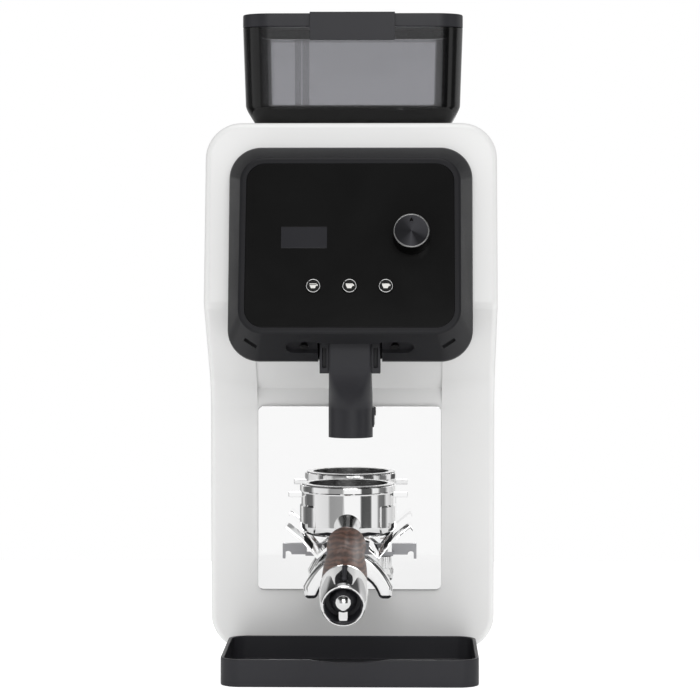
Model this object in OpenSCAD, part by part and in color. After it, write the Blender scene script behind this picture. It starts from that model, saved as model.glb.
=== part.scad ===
// Burr coffee grinder with a portafilter docked on its fork.
// Millimetres, +Z up, Z = 0 is the table, -Y is the front, +X is the right-hand side.
// The modules draw with Y = 0 at the front of the column. in_frame() then moves everything
// along Y, so that the origin is the centre of the whole footprint.

/* [Casing] */
// Width of the casing
body_w = 208; // [196:1:250]
// Height of the casing, without its feet
case_h = 385.2; // [380:0.2:465]
// Depth of the column from its front face to the rear cover
column_d = 160; // [156:1:200]
// How far the ridge stands in front of the column
overhang = 73.3; // [70:0.1:76]
// How far the ridge lies below the casing's top
ridge_drop = 130.4; // [126:0.2:134]
// Lean of the upper face, degrees from upright
face_lean = 12.66; // [10:0.1:15]
// Slope of the surface under the overhang, degrees from upright
under_lean = 48.9; // [46:0.1:52]
// Radius of the casing's corners, seen from the front
case_r = 25.6; // [18:0.2:30]
// Radius of the hollow curve where the overhang leaves the column
hollow_r = 33; // [20:1:36]
// Radius of the ridge
ridge_r = 7; // [4:0.5:10]
// Radius of the front edge of the top
top_edge_r = 5; // [3:0.5:8]
// Wall of the casing
case_t = 2.4; // [1.8:0.1:3.2]
// Height of the rubber feet under the casing
foot_h = 8.5; // [6:0.5:14]
// Radius of a foot
foot_r = 11; // [8:0.5:12]

/* [Control head] */
// Width of the head where it meets the casing
head_w = 172.4; // [160:0.2:184]
// Height of the head where it meets the casing
head_h = 150.8; // [146:0.2:156]
// How far the head's upper edge lies below the casing's top
head_drop = 17.9; // [14:0.1:24]
// Corner radius of the head
head_r = 22.7; // [18:0.1:26]
// How far the straight skirt of the head stands off the casing
skirt_t = 8; // [5:0.5:11]
// Width of the tilted front of the head
panel_w = 154; // [148:0.5:158]
// Length of the tilted front, measured along it
panel_l = 129.4; // [124:0.2:134]
// Corner radius of the tilted front
panel_r = 17.5; // [12:0.5:22]
// Lean of the tilted front, degrees from upright
panel_lean = 20; // [18:0.5:22]
// How far the lower edge of the tilted front stands in front of the column
panel_reach = 119; // [114:0.5:124]
// Height of the lower edge of the tilted front above the head's bottom
panel_rise = 21.3; // [18:0.1:24]
// Width of the frame around the panel
bezel_w = 4; // [3:0.5:7]
// Thickness of the panel
panel_t = 3; // [2:0.1:4]
// Wall of the head
head_t = 2.5; // [2:0.1:3.5]

/* [Controls] */
// Height of the row that holds the display and the dial, from the panel's centre
control_row = 5.4; // [0:0.2:10]
// Sideways place of the display's centre
display_x = -32; // [-40:0.5:-24]
// Width of the display
display_w = 32.2; // [26:0.2:38]
// Height of the display
display_h = 15.7; // [12:0.1:20]
// Sideways place of the dial
knob_x = 42.8; // [36:0.2:50]
// Radius of the dial's base
knob_r = 13.2; // [10:0.1:16]
// Height of the dial above the panel
knob_h = 14.5; // [10:0.5:18]
// Distance of the buttons' row below the panel's centre
button_row = 30.5; // [26:0.5:36]
// Spacing of the buttons
button_gap = 25.2; // [18:0.2:30]
// Radius of a button
button_r = 5; // [4:0.1:6.5]
// Height of a button above the panel
button_h = 1.4; // [0.8:0.1:3]
// Travel of a button
button_travel = 0.6; // [0.3:0.1:0.8]

/* [Chute] */
// How far the chute's axis lies in front of the column
chute_reach = 65; // [60:0.5:68]
// Outer diameter of the outlet tube
chute_od = 31.4; // [28:0.2:36]
// Bore of the chute
chute_bore = 25; // [20:0.5:27]
// How far the outlet hangs below the head
outlet_drop = 54.4; // [40:0.2:60]
// Width of the flat-fronted block that the tube grows out of
block_w = 29.4; // [26:0.2:34]
// How far the block stands in front of the chute's axis
block_reach = 33; // [28:0.5:36]
// How far the outlet tube reaches up inside the block, above the head's bottom
block_top = 37; // [32:1:39]

/* [Dock] */
// Sideways offset of the plate, the fork and the portafilter
dock_x = -2; // [-3:0.5:3]
// Width of the polished plate
plate_w = 134.6; // [120:0.2:150]
// Height of the polished plate's lower edge above the table
plate_low = 53.5; // [46:0.5:60]
// Gap between the plate's upper edge and the corner of the hollow curve
plate_gap = 10.9; // [8:0.1:16]
// Thickness of the polished plate
plate_t = 3; // [2:0.1:4]
// Depth of the flat pocket above the plate
pocket_d = 1; // [0.5:0.1:1.4]
// How far the portafilter's axis lies in front of the column
pf_reach = 53; // [50:0.5:56]
// Gap between the outlet and the portafilter's rim
pf_gap = 34.6; // [30:0.2:42]
// Thickness of the fork's metal strip
fork_t = 2; // [1.6:0.1:2.4]

/* [Portafilter] */
// Diameter of the basket's mouth
basket_d = 58; // [48:0.5:58]
// Outer diameter of the bowl
bowl_d = 67; // [64:0.2:81]
// Height of the bowl
bowl_h = 36; // [32:0.5:38]
// Span over the two locking lugs
lug_span = 85; // [78:0.5:88]
// Droop of the handle, degrees
handle_droop = 15; // [12:0.5:18]
// Length of the wooden grip
grip_l = 78; // [70:1:100]
// Diameter of the grip at the bowl's end
grip_d = 27; // [24:0.2:30]
// Diameter of the end cap
cap_d = 32.6; // [28:0.2:34]
// Length of the end cap
cap_l = 34; // [26:0.5:38]

/* [Hopper] */
// Width of the hopper at its rim
hopper_w = 161.4; // [150:0.2:170]
// Depth of the hopper at its rim
hopper_d = 140; // [132:0.5:146]
// How far the hopper's front stands in front of the column
hopper_front = 3; // [0:0.5:6]
// Height of the hopper's rim above the casing
hopper_h = 71.4; // [60:0.2:100]
// Corner radius of the hopper, seen from above
hopper_r = 20; // [14:0.5:26]
// Wall of the hopper
hopper_t = 2.5; // [2:0.1:3.2]
// Height of the lid's band
lid_h = 9.8; // [8:0.1:14]
// Width of the lid's finger tab
lid_tab_w = 62; // [40:1:80]

/* [Tray] */
// Width of the tray
tray_w = 180.6; // [160:0.2:200]
// Depth of the tray
tray_d = 116.5; // [100:0.5:130]
// Height of the tray
tray_h = 19.3; // [14:0.1:26]
// Corner radius of the tray
tray_r = 14; // [8:0.5:20]
// Wall of the tray
tray_t = 2.5; // [2:0.1:4]

/* [Burrs and motor] */
// Radius of the burrs
burr_r = 32; // [29:0.5:33]
// Thickness of a burr
burr_t = 6; // [5:0.5:7]
// Gap between the burrs at the finest setting
burr_gap = 0.4; // [0.3:0.05:0.8]
// Outer radius of the motor
motor_r = 45; // [42:0.5:46]
// Radius of the motor's shaft
shaft_r = 6; // [5:0.1:7.2]
// How far the shelf that carries the motor lies below the casing's top
shelf_drop = 93.7; // [93.7:0.1:96]
// Length of the motor below the shelf
motor_l = 150; // [140:1:160]

/* [Hidden] */
$fn = 64;

// clearances
touch_gap = 0.3;      // between curved faces on pieces that move apart
cover_gap = 0.2;      // between the rear cover and the casing
screw_fit = 0.1;      // radius to spare around a screw
run_fit = 0.05;       // radius to spare around a turning shaft
eps = 1;              // how far a cutter passes a face

// casing
top_z = foot_h + case_h;
ridge_z = top_z - ridge_drop;
corner_z = ridge_z - overhang / tan(under_lean);
face_top_y = -overhang + ridge_drop * tan(face_lean);
cover_t = 3;
base_t = 2;
base_z = foot_h + case_t;
floor_z = base_z + base_t;
base_half = body_w / 2 - case_r;
foot_x = base_half - foot_r - 5;
foot_front = foot_r + 11;
foot_back = column_d - foot_r - 11;
screw_r = 2;
post_r = 4.5;
post_l = 26;
post_inset = case_t + post_r - 0.6;
post_rows = [foot_h + case_r + 8, foot_h + case_h / 2, top_z - case_r - 8];

// head
head_top = top_z - head_drop;
head_low = head_top - head_h;
panel_low_z = head_low + panel_rise;
panel_mid = [-panel_reach + panel_l / 2 * sin(panel_lean), panel_low_z + panel_l / 2 * cos(panel_lean)];
skirt_y = function(z) -overhang + (z - ridge_z) * tan(face_lean) - skirt_t / cos(face_lean);
under_front = [-panel_reach, panel_low_z];
under_back = [skirt_y(head_low), head_low];
under_angle = atan2(under_front[1] - under_back[1], under_back[0] - under_front[0]);
ledge_w = 4;
ledge_t = 2;
board_z = -12.4;
board_t = 1.6;
board_post_x = panel_w / 2 - bezel_w - 16;
board_post_y = panel_l / 2 - bezel_w - 14;
switch_top = board_z + 5.2;
under_screw_x = 31.6;

// dock
outlet_z = head_low - outlet_drop;
rim_z = outlet_z - pf_gap;
bowl_z = rim_z - bowl_h;
plate_top = corner_z - plate_gap;
plate_h = plate_top - plate_low;
arm_y = -pf_reach - 13;
bowl_r = bowl_d / 2;
basket_r = basket_d / 2;
basket_t = 0.8;
wire_r = 0.55;
bowl_in = basket_r + 2 * wire_r + 0.1;
spout_top = bowl_z - 0.01;

// handle, measured from the bowl's axis along the drooping line
grip_start = 64;
grip_end = grip_start + grip_l;
handle_z = bowl_z + 16.5;
cap_r = cap_d / 2;
cap_end_r = cap_r - 2.4;
handle_reach = pf_reach + (grip_end + cap_l) * cos(handle_droop) + cap_end_r * sin(handle_droop);

// the origin lies half way between the handle's end and the back of the inlet
inlet_proud = 2;
front_y = (handle_reach - column_d - inlet_proud) / 2;

// burrs and motor
burr_y = -hopper_front + hopper_d / 2;
shelf_z = top_z - shelf_drop;
shelf_t = 4;
chamber_z = shelf_z + shelf_t;
chamber_r = burr_r + 14;
chamber_in = burr_r + 6;
chamber_floor = 6;
carrier_z = chamber_z + chamber_floor + 1;
carrier_t = 11;
lower_z = carrier_z + carrier_t;
upper_z = lower_z + burr_t + burr_gap;
seat_z = upper_z + burr_t;
chamber_h = seat_z - chamber_z + 21.6;
ring_z = chamber_z + chamber_h + touch_gap;
ring_top = top_z - 5.7;
ring_r = 48;
neck_r = 25;
neck_t = 3;
collar_r = neck_r + 3;
collar_top = top_z - 9.7;
neck_low = top_z - 19.2;
bean_r = 14;
burr_screw_r = 25;
motor_top_t = 12;
motor_z = shelf_z - motor_l;
motor_wall = 3;
bearing_r = 14;
bearing_t = 9;
stator_z = motor_z + 40;
stator_l = 75;
stator_in = 27;
rotor_gap = 0.5;

// hopper
hopper_z = top_z + touch_gap;
hopper_rim = top_z + hopper_h;
hopper_curve = 11;
hopper_taper = 4.7;
hopper_floor = hopper_z + 12.6;
lid_skirt = 10.4;

// rear
inlet_w = 27;
inlet_d = 20;
inlet_x = 52;
inlet_z = 46;
switch_x = -52;
switch_w = 19;
switch_h = 13;
rocker_lean = 10;

// ---- outlines -------------------------------------------------------------------

// a rectangle with round corners, centred
module round_rect(w, h, r) {
    square([w - 2 * r, h], center = true);
    square([w, h - 2 * r], center = true);
    for (x = [-1, 1], y = [-1, 1])
        translate([x * (w / 2 - r), y * (h / 2 - r)]) circle(r = r);
}

// an outline in X and Z, drawn out along Y
module along_y(y0, y1) {
    translate([0, y1, 0]) rotate([90, 0, 0]) linear_extrude(y1 - y0) children();
}

// an outline in Y and Z, drawn out along X
module along_x(x0, x1) {
    translate([x0, 0, 0]) rotate([90, 0, 90]) linear_extrude(x1 - x0) children();
}

function unit(v) = v / norm(v);

// the arc of radius r that rounds the corner b between a and c
function round_corner(a, b, c, r, steps = 8) =
    let (u = unit(a - b), v = unit(c - b), half = acos(u * v) / 2)
    let (centre = b + unit(u + v) * r / sin(half), from = b + u * r / tan(half) - centre)
    let (to = b + v * r / tan(half) - centre, a0 = atan2(from[1], from[0]))
    let (turn = atan2(from[0] * to[1] - from[1] * to[0], from * to))
    [for (i = [0 : steps]) centre + r * [cos(a0 + turn * i / steps), sin(a0 + turn * i / steps)]];

// a closed outline moved inwards by d, each corner kept sharp
function inset(pts, d) =
    let (n = len(pts))
    [for (i = [0 : n - 1])
        let (e0 = unit(pts[i] - pts[(i + n - 1) % n]), e1 = unit(pts[(i + 1) % n] - pts[i]))
        let (n0 = [e0[1], -e0[0]], n1 = [e1[1], -e1[0]])
        pts[i] + d * (n0 + n1) / (1 + n0 * n1)];

// side view of the casing: column, overhang, ridge and leaning face
case_corners = [[0, foot_h], [0, corner_z], [-overhang, ridge_z], [face_top_y, top_z], [column_d, top_z]];
case_profile = concat(
    [[column_d, foot_h], case_corners[0]],
    round_corner(case_corners[0], case_corners[1], case_corners[2], hollow_r),
    round_corner(case_corners[1], case_corners[2], case_corners[3], ridge_r),
    round_corner(case_corners[2], case_corners[3], case_corners[4], top_edge_r),
    [case_corners[4]]
);

// the casing as one solid, its faces moved inwards by d
module case_solid(d) {
    intersection() {
        along_x(-body_w / 2 + d, body_w / 2 - d) polygon(inset(case_profile, d));
        along_y(-overhang - eps, column_d + eps)
            translate([0, foot_h + case_h / 2]) round_rect(body_w - 2 * d, case_h - 2 * d, case_r - d);
    }
}

module at_posts(y) {
    for (x = [-1, 1], z = post_rows)
        translate([x * (body_w / 2 - post_inset), y, z]) rotate([90, 0, 0]) children();
}

module at_feet() {
    for (x = [-foot_x, foot_x], y = [foot_front, foot_back]) translate([x, y, 0]) children();
}

// a place on the tilted panel: x to the right, y up along it, z out of it
module on_panel(x = 0, y = 0, z = 0) {
    translate([0, panel_mid[0], panel_mid[1]]) rotate([90 - panel_lean, 0, 0]) translate([x, y, z])
        children();
}

// a place on the slope under the head: z out of it
module on_underside(x = 0, z = 0) {
    translate([x, (under_front[0] + under_back[0]) / 2, (under_front[1] + under_back[1]) / 2])
        rotate([180 - under_angle, 0, 0]) translate([0, 0, z]) children();
}

// a place on the burrs' axis
module on_axis(z = 0) {
    translate([0, burr_y, z]) children();
}

// a place on the portafilter's axis
module on_bowl(z = 0) {
    translate([dock_x, -pf_reach, z]) children();
}

// the handle's own line, z pointing out along it
module on_handle(s = 0) {
    on_bowl(handle_z) rotate([90 + handle_droop, 0, 0]) translate([0, 0, s]) children();
}

module screw(head_r, head_l, r, l) {
    cylinder(r = head_r, h = head_l);
    translate([0, 0, -l]) cylinder(r = r, h = l);
}

module tube(r_out, r_in, h) {
    difference() {
        cylinder(r = r_out, h = h);
        translate([0, 0, -eps]) cylinder(r = r_in, h = h + 2 * eps);
    }
}

// ---- casing ---------------------------------------------------------------------

// the flat pocket above the plate, which takes the hollow curve away over the plate's width
pocket_end = 36;
backing_h = 34;   // height of the thicker wall behind the pocket
module pocket() {
    slope = [-sin(under_lean), cos(under_lean)];
    out = [-cos(under_lean), -sin(under_lean)];
    crease = [0, corner_z + pocket_d / sin(under_lean)];
    far = crease + slope * pocket_end / sin(under_lean);
    low = [0, corner_z - hollow_r];
    translate([dock_x, 0, 0]) along_x(-plate_w / 2 - cover_gap, plate_w / 2 + cover_gap)
        polygon([low - [pocket_end + 12, 0], low, crease, far, far + out * 6]);
}

// holes in the front, behind the head: a wide one for the board, a low one for the duct
board_window = 124;
duct_window = 48;
duct_window_top = ridge_z + 17;
module body_shell() {
    color("whitesmoke") {
        difference() {
            case_solid(0);
            difference() {
                case_solid(case_t);
                translate([dock_x - plate_w / 2 - 3, -40, corner_z - 18]) cube([plate_w + 6, 46,
                    backing_h]);
            }
            pocket();
            along_y(column_d - case_t - eps, column_d + eps) translate([0, foot_h + case_h / 2])
                round_rect(body_w - 2 * case_t, case_h - 2 * case_t, case_r - case_t);
            translate([-base_half + 4, 8, foot_h - eps]) cube([2 * base_half - 8, column_d - 16,
                case_t + 2 * eps]);
            on_axis(top_z - case_t - eps) cylinder(r = ring_r + 2, h = case_t + 2 * eps);
            translate([-board_window / 2, -overhang - 10, duct_window_top - 1])
                cube([board_window, 80, ridge_drop - 50]);
            translate([-duct_window / 2, -overhang - 27, head_low + 2])
                cube([duct_window, 56, duct_window_top - head_low - 2]);
            for (z = fork_rows) translate([dock_x, 0, z]) rotate([90, 0, 0])
                cylinder(r = screw_r + screw_fit, h = 20, center = true);
        }
        difference() {
            at_posts(column_d - cover_t) cylinder(r = post_r, h = post_l);
            at_posts(column_d) cylinder(r = screw_r, h = post_l);
        }
    }
}

slot_l = 48;
module base_plate() {
    color("dimgray") difference() {
        translate([-base_half, case_t + 1, base_z])
            cube([2 * base_half, column_d - case_t - cover_t - 2, base_t]);
        at_feet() cylinder(r = screw_r + screw_fit, h = 30);
        for (i = [-4 : 4]) translate([i * 11 - 2, (column_d - slot_l) / 2, base_z - eps])
            cube([4, slot_l, base_t + 2 * eps]);
    }
}

module rubber_feet() {
    color("black") at_feet() difference() {
        union() {
            cylinder(r1 = foot_r - 1, r2 = foot_r, h = 3);
            translate([0, 0, 3]) cylinder(r = foot_r, h = base_z - 3);
        }
        translate([0, 0, 3.5]) cylinder(r = screw_r, h = base_z);
    }
}

module foot_screws() {
    color("silver") at_feet() translate([0, 0, floor_z]) screw(4, 2.4, screw_r, floor_z - 4.5);
}

module rear_cover() {
    color("dimgray") difference() {
        along_y(column_d - cover_t, column_d) translate([0, foot_h + case_h / 2])
            round_rect(body_w - 2 * (case_t + cover_gap), case_h - 2 * (case_t + cover_gap),
                case_r - case_t);
        at_posts(column_d + eps) cylinder(r = screw_r + screw_fit, h = cover_t + 2 * eps);
        for (row = [0 : 11], x = [-1, 1]) translate([x * 38 - vent_w / 2, column_d - 10,
            vent_low + row * 9])
            cube([vent_w, 20, 4]);
        translate([inlet_x - inlet_w / 2, column_d - 10, inlet_z - inlet_d / 2]) cube([inlet_w, 20,
            inlet_d]);
        translate([switch_x - switch_w / 2, column_d - 10, inlet_z - switch_h / 2]) cube([switch_w, 20,
            switch_h]);
    }
}
vent_low = foot_h + case_h / 2 - 60;
vent_w = 52;

module rear_screws() {
    color("silver") at_posts(column_d + 1.8) translate([0, 0, 1.8]) mirror([0, 0, 1]) screw(3.6, 1.8,
        screw_r, 12);
}

module mirror_plate() {
    color("gainsboro") difference() {
        along_y(-plate_t, 0) translate([dock_x, plate_low + plate_h / 2]) round_rect(plate_w, plate_h, 4);
        for (z = fork_rows) translate([dock_x, 0, z]) rotate([90, 0, 0])
            cylinder(r = screw_r + screw_fit, h = 20, center = true);
    }
}

// upright plate with a shelf, which carries the motor under it and the burrs on it
chassis_y = burr_y + motor_r + 4;
chassis_t = 3;
chassis_x = 70;
flange_l = 13;
module chassis() {
    color("slategray") difference() {
        union() {
            translate([-chassis_x, chassis_y, floor_z]) cube([2 * chassis_x, chassis_t,
                chamber_z - floor_z]);
            translate([-chassis_x, chassis_y, floor_z]) cube([2 * chassis_x, chassis_t + flange_l, 3]);
            translate([-chassis_x, burr_y - motor_r - 3, shelf_z]) cube([2 * chassis_x,
                2 * motor_r + 7 + chassis_t, shelf_t]);
        }
        on_axis(shelf_z - eps) cylinder(r = bearing_r, h = shelf_t + 2 * eps);
        at_motor_screws(shelf_z - eps) cylinder(r = screw_r + screw_fit, h = shelf_t + 2 * eps);
        at_chassis_screws(floor_z - eps) cylinder(r = screw_r + screw_fit, h = 3 + 2 * eps);
    }
}

module at_motor_screws(z) {
    for (a = [45 : 90 : 315]) on_axis(z) rotate(a) translate([chamber_in - 9, 0, 0]) children();
}

module at_chassis_screws(z) {
    for (x = [-50, 50]) translate([x, chassis_y + chassis_t + flange_l - 6, z]) children();
}

module chassis_screws() {
    color("silver") at_chassis_screws(floor_z + 3) screw(3.6, 2.2, screw_r, 3);
}

// ---- control head ---------------------------------------------------------------

// the skirt: the head's outline drawn straight back, in front of it a leaning plane
module skirt_solid(d, back) {
    intersection() {
        along_y(-panel_reach - 20, back) translate([0, head_low + head_h / 2])
            round_rect(head_w - 2 * d, head_h - 2 * d, head_r - d);
        along_x(-head_w, head_w) polygon([
            [skirt_y(head_low - 20), head_low - 20], [skirt_y(head_top + 20), head_top + 20],
            [back + eps, head_top + 20], [back + eps, head_low - 20]]);
    }
}

module head_solid(d, back) {
    skirt_solid(d, back);
    hull() {
        intersection() {
            skirt_solid(d, back, $fn = 32);
            along_x(-head_w, head_w) polygon([
                [skirt_y(head_low - 20), head_low - 20], [skirt_y(head_top + 20), head_top + 20],
                [skirt_y(head_top + 20) + 1, head_top + 20], [skirt_y(head_low - 20) + 1, head_low - 20]]);
        }
        on_panel(0, 0, -1 - d) linear_extrude(1) round_rect(panel_w - 2 * d, panel_l - 2 * d,
            panel_r - d, $fn = 32);
    }
}

module head_housing() {
    color([0.12, 0.12, 0.13]) difference() {
        head_solid(0, 0);
        difference() {
            head_solid(head_t, 2 * eps);
            on_panel(0, 0, -panel_t - ledge_t)
                translate([-panel_w / 2, -panel_l / 2, 0]) cube([panel_w, panel_l, 20]);
        }
        case_solid(0);
        on_panel(0, 0, -panel_t) linear_extrude(10)
            round_rect(panel_w - 2 * bezel_w, panel_l - 2 * bezel_w, panel_r - bezel_w);
        on_panel(0, 0, -panel_t - 8) linear_extrude(10) round_rect(
            panel_w - 2 * (bezel_w + ledge_w), panel_l - 2 * (bezel_w + ledge_w),
                panel_r - bezel_w - ledge_w);
        translate([-22.5, -chute_reach - 43, head_low - eps]) cube([45, 64, 26]);
        for (x = [-1, 1]) on_underside(x * under_screw_x, -1.4) {
            linear_extrude(10) round_rect(26, 7, 3.4);
            translate([0, 0, -10]) cylinder(r = screw_r + screw_fit, h = 12);
        }
    }
}

module underside_screws() {
    color("black") for (x = [-1, 1]) on_underside(x * under_screw_x, -1.4) screw(2.9, 1.2, screw_r, 9);
}

module front_panel() {
    color([0.06, 0.06, 0.07]) difference() {
        on_panel() {
            translate([0, 0, -panel_t]) linear_extrude(panel_t) round_rect(
                panel_w - 2 * (bezel_w + 0.2), panel_l - 2 * (bezel_w + 0.2), panel_r - bezel_w);
            for (x = [-1, 1], y = [-1, 1]) translate([x * board_post_x, y * board_post_y, board_z])
                cylinder(r = 3, h = -board_z - panel_t);
        }
        on_panel(display_x, control_row, 0) cube([display_w, display_h, 20], center = true);
        on_panel(knob_x, control_row, -10) cylinder(r = 3.6, h = 20);
        for (i = [-1 : 1]) on_panel(i * button_gap, -button_row, -10) cylinder(r = button_r + 0.3, h = 20);
    }
}

module display() {
    color([0.15, 0.16, 0.18]) on_panel(display_x, control_row, 0) {
        translate([-display_w / 2, -display_h / 2, -panel_t]) cube([display_w, display_h, panel_t - 0.2]);
        translate([-display_w / 2 - 3, -display_h / 2 - 3, -panel_t - 2]) cube([display_w + 6,
            display_h + 6, 2]);
    }
}

module control_board() {
    color("darkgreen") on_panel(0, 0, board_z - board_t) {
        translate([-board_post_x - 5, -board_post_y - 5, 0]) cube([2 * board_post_x + 10,
            2 * board_post_y + 10, board_t]);
        translate([-30, 18, -5]) cube([14, 14, 5]);
        translate([-44, -20, -8]) cube([20, 9, 8]);
        translate([-40, 24, board_t]) cube([24, 6, 2.5]);
    }
}

module button_switches() {
    color("silver") for (i = [-1 : 1]) on_panel(i * button_gap, -button_row, board_z)
        translate([-3, -3, 0]) cube([6, 6, switch_top - board_z]);
}

module button(i) {
    on_panel(i * button_gap, -button_row, 0) rotate_extrude() polygon([
        [0, button_h - 0.5], [button_r - 1.6, button_h - 0.5], [button_r - 1, button_h],
        [button_r - 0.4, button_h], [button_r, button_h - 0.5], [button_r, -panel_t - 0.4],
        [button_r + 1, -panel_t - 0.4], [button_r + 1, -panel_t - 1.4], [1.6, -panel_t - 1.4],
        [1.6, switch_top + button_travel + 0.1], [0, switch_top + button_travel + 0.1]]);
}

module button_left() color("silver") button(-1);
module button_middle() color("silver") button(0);
module button_right() color("silver") button(1);

module encoder() {
    color("gray") on_panel(knob_x, control_row, board_z) difference() {
        translate([-7, -7, 0]) cube([14, 14, 6.6]);
        translate([0, 0, 2.4]) cylinder(r = 3 + run_fit, h = 6);
    }
}

module knob() {
    color([0.2, 0.2, 0.21]) on_panel(knob_x, control_row, 0) difference() {
        rotate_extrude() polygon([
            [0, 0.5], [knob_r, 0.5], [knob_r, 2], [knob_r - 0.5, 3], [knob_r - 0.8, knob_h - 0.8],
            [knob_r - 1.4, knob_h], [knob_r - 2, knob_h], [knob_r - 2.3, knob_h - 0.4], [0, knob_h - 0.4]]);
        translate([0, 0, -eps]) cylinder(r = 3, h = knob_h - 3 + eps);
        translate([0, knob_r - 5, knob_h - 0.9]) rotate(90) cylinder(r = 1.8, h = 2, $fn = 3);
    }
}

module knob_shaft() {
    color("silver") on_panel(knob_x, control_row, board_z + 2.6) cylinder(r = 3, h =
        knob_h - 3 - board_z - 2.6);
}

// ---- chute ----------------------------------------------------------------------

block_front = -chute_reach - block_reach;
block_back = -chute_reach + chute_od / 2;
block_low = head_low - 13;
block_high = head_low + block_top;
module chute_block() {
    color([0.2, 0.2, 0.21]) difference() {
        union() {
            along_x(-block_w / 2, block_w / 2) polygon([
                [block_front, block_high], [block_front, head_low + 13], [block_front + 3, head_low + 2],
                [-chute_reach - chute_od / 2 + 4, block_low - 12], [-chute_reach, block_low - 12],
                [block_back - 2, block_low], [block_back - 2, block_high]]);
            translate([0, -chute_reach, outlet_z]) cylinder(r = chute_od / 2, h = head_low - outlet_z);
            translate([chute_od / 2 - 2, -chute_reach - 2, outlet_z + 7]) cube([3.2, 4, 14]);
        }
        translate([0, -chute_reach, outlet_z - eps]) cylinder(r = chute_bore / 2, h =
            block_high - outlet_z + 2 * eps);
    }
}

module chute_clips() {
    color("black") for (x = [-1, 1]) scale([x, 1, 1]) difference() {
        union() {
            translate([block_w / 2, block_front + 5, head_low - 8]) cube([6.6, 10, 22]);
            translate([chute_od / 2, block_front + 15, head_low - 8])
                cube([block_w / 2 + 6.6 - chute_od / 2, 14, 6]);
        }
        translate([block_w / 2 + 2, block_front + 4, head_low - 4]) cube([2.6, 6, 14]);
    }
}

duct_w = 28;
module grounds_duct() {
    color("dimgray") difference() {
        along_x(-duct_w / 2, duct_w / 2) polygon([
            [mouth_y, mouth_z + 20], [-chute_reach - 13, block_high + 34], [-chute_reach - 13, block_high],
            [-chute_reach + 13, block_high], [-chute_reach + 13, block_high + 21], [mouth_y, mouth_z]]);
        along_x(-duct_w / 2 + 2, duct_w / 2 - 2) polygon([
            [mouth_y + eps, mouth_z + 18], [-chute_reach - 11, block_high + 32], [-chute_reach - 11,
                block_high - eps],
            [-chute_reach + 11, block_high - eps], [-chute_reach + 11, block_high + 22.6],
                [mouth_y + eps, mouth_z + 2.4]]);
    }
}

// ---- fork -----------------------------------------------------------------------

fork_z = bowl_z - 16.2;
fork_rows = [fork_z];
fork_half = 49;
bracket_h = 8;
arm_mid = bowl_r - 7.5;
inner_tip = [bowl_r - 18.5, -8];
apex = [bowl_r - 11.5, -14];
outer_bend = [bowl_r - 1.5, -2];
flare_tip = [bowl_r + 9.5, 7];
module fork_bracket() {
    color("silver") difference() {
        union() {
            along_y(-plate_t - 3, -plate_t) translate([dock_x, fork_z]) difference() {
                square([2 * fork_half, bracket_h], center = true);
                for (x = [-1, 1]) translate([x * (fork_half - 4), -bracket_h / 2]) circle(r = 2.5);
            }
            for (x = [-1, 1]) translate([dock_x + x * (fork_half - 1) - 1, -plate_t - 3,
                fork_z - bracket_h / 2 - 3])
                cube([2, 3, 4]);
            for (x = [-1, 1]) translate([dock_x + x * arm_mid - 6, -plate_t - 12, fork_z - bracket_h / 2])
                cube([12, 12, 3]);
        }
        translate([dock_x, 0, fork_z]) rotate([90, 0, 0]) cylinder(r = screw_r + screw_fit, h = 40,
            center = true);
    }
}

// the V-shaped strip of one arm, seen from the front; its lower side lies fork_t below
function strip(pts, t) = concat(pts, [for (i = [len(pts) - 1 : -1 : 0]) pts[i] - [0, t]]);
module fork_arms() {
    color("silver") for (x = [-1, 1]) translate([dock_x, 0, bowl_z]) scale([x, 1, 1]) {
        along_y(arm_y, -plate_t - 12) polygon(strip([inner_tip, apex, outer_bend], fork_t * 1.3));
        along_y(arm_y, arm_y + 26) polygon(strip(
            [outer_bend, flare_tip, flare_tip + [1.6, 0.6], flare_tip + [3, -1.6]], fork_t));
        along_y(-plate_t - 12, -plate_t - 3) polygon([
            [apex[0] - 2, fork_z - bowl_z - 1], [apex[0] + 9, fork_z - bowl_z - 1], [apex[0] + 9, -6],
            [apex[0], -15]]);
    }
}

// a rubber strip on the outer side of each V, under the bowl
pad_t = 1;
module fork_pads() {
    slope = outer_bend - apex;
    color("black") for (x = [-1, 1]) translate([dock_x, 0, bowl_z]) scale([x, 1, 1])
        along_y(arm_y + 1, arm_y + 30) polygon([
            apex + slope * 0.35, apex + slope * 0.9, apex + slope * 0.9 + [0, pad_t],
                apex + slope * 0.35 + [0, pad_t]]);
}

module fork_screws() {
    color("silver") translate([dock_x, -plate_t - 3, fork_z]) rotate([90, 0, 0]) screw(3.8, 2.2,
        screw_r, 14);
}

thumb_z = fork_z - bracket_h / 2 - 0.2;
module thumb_screw() {
    color("silver") translate([dock_x + arm_mid, -plate_t - 7, thumb_z - 9]) difference() {
        cylinder(r = 5, h = 8.6);
        for (a = [0 : 30 : 330]) rotate(a) translate([5.3, 0, -eps]) cylinder(r = 0.8, h = 12);
    }
}

// ---- portafilter ----------------------------------------------------------------

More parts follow.
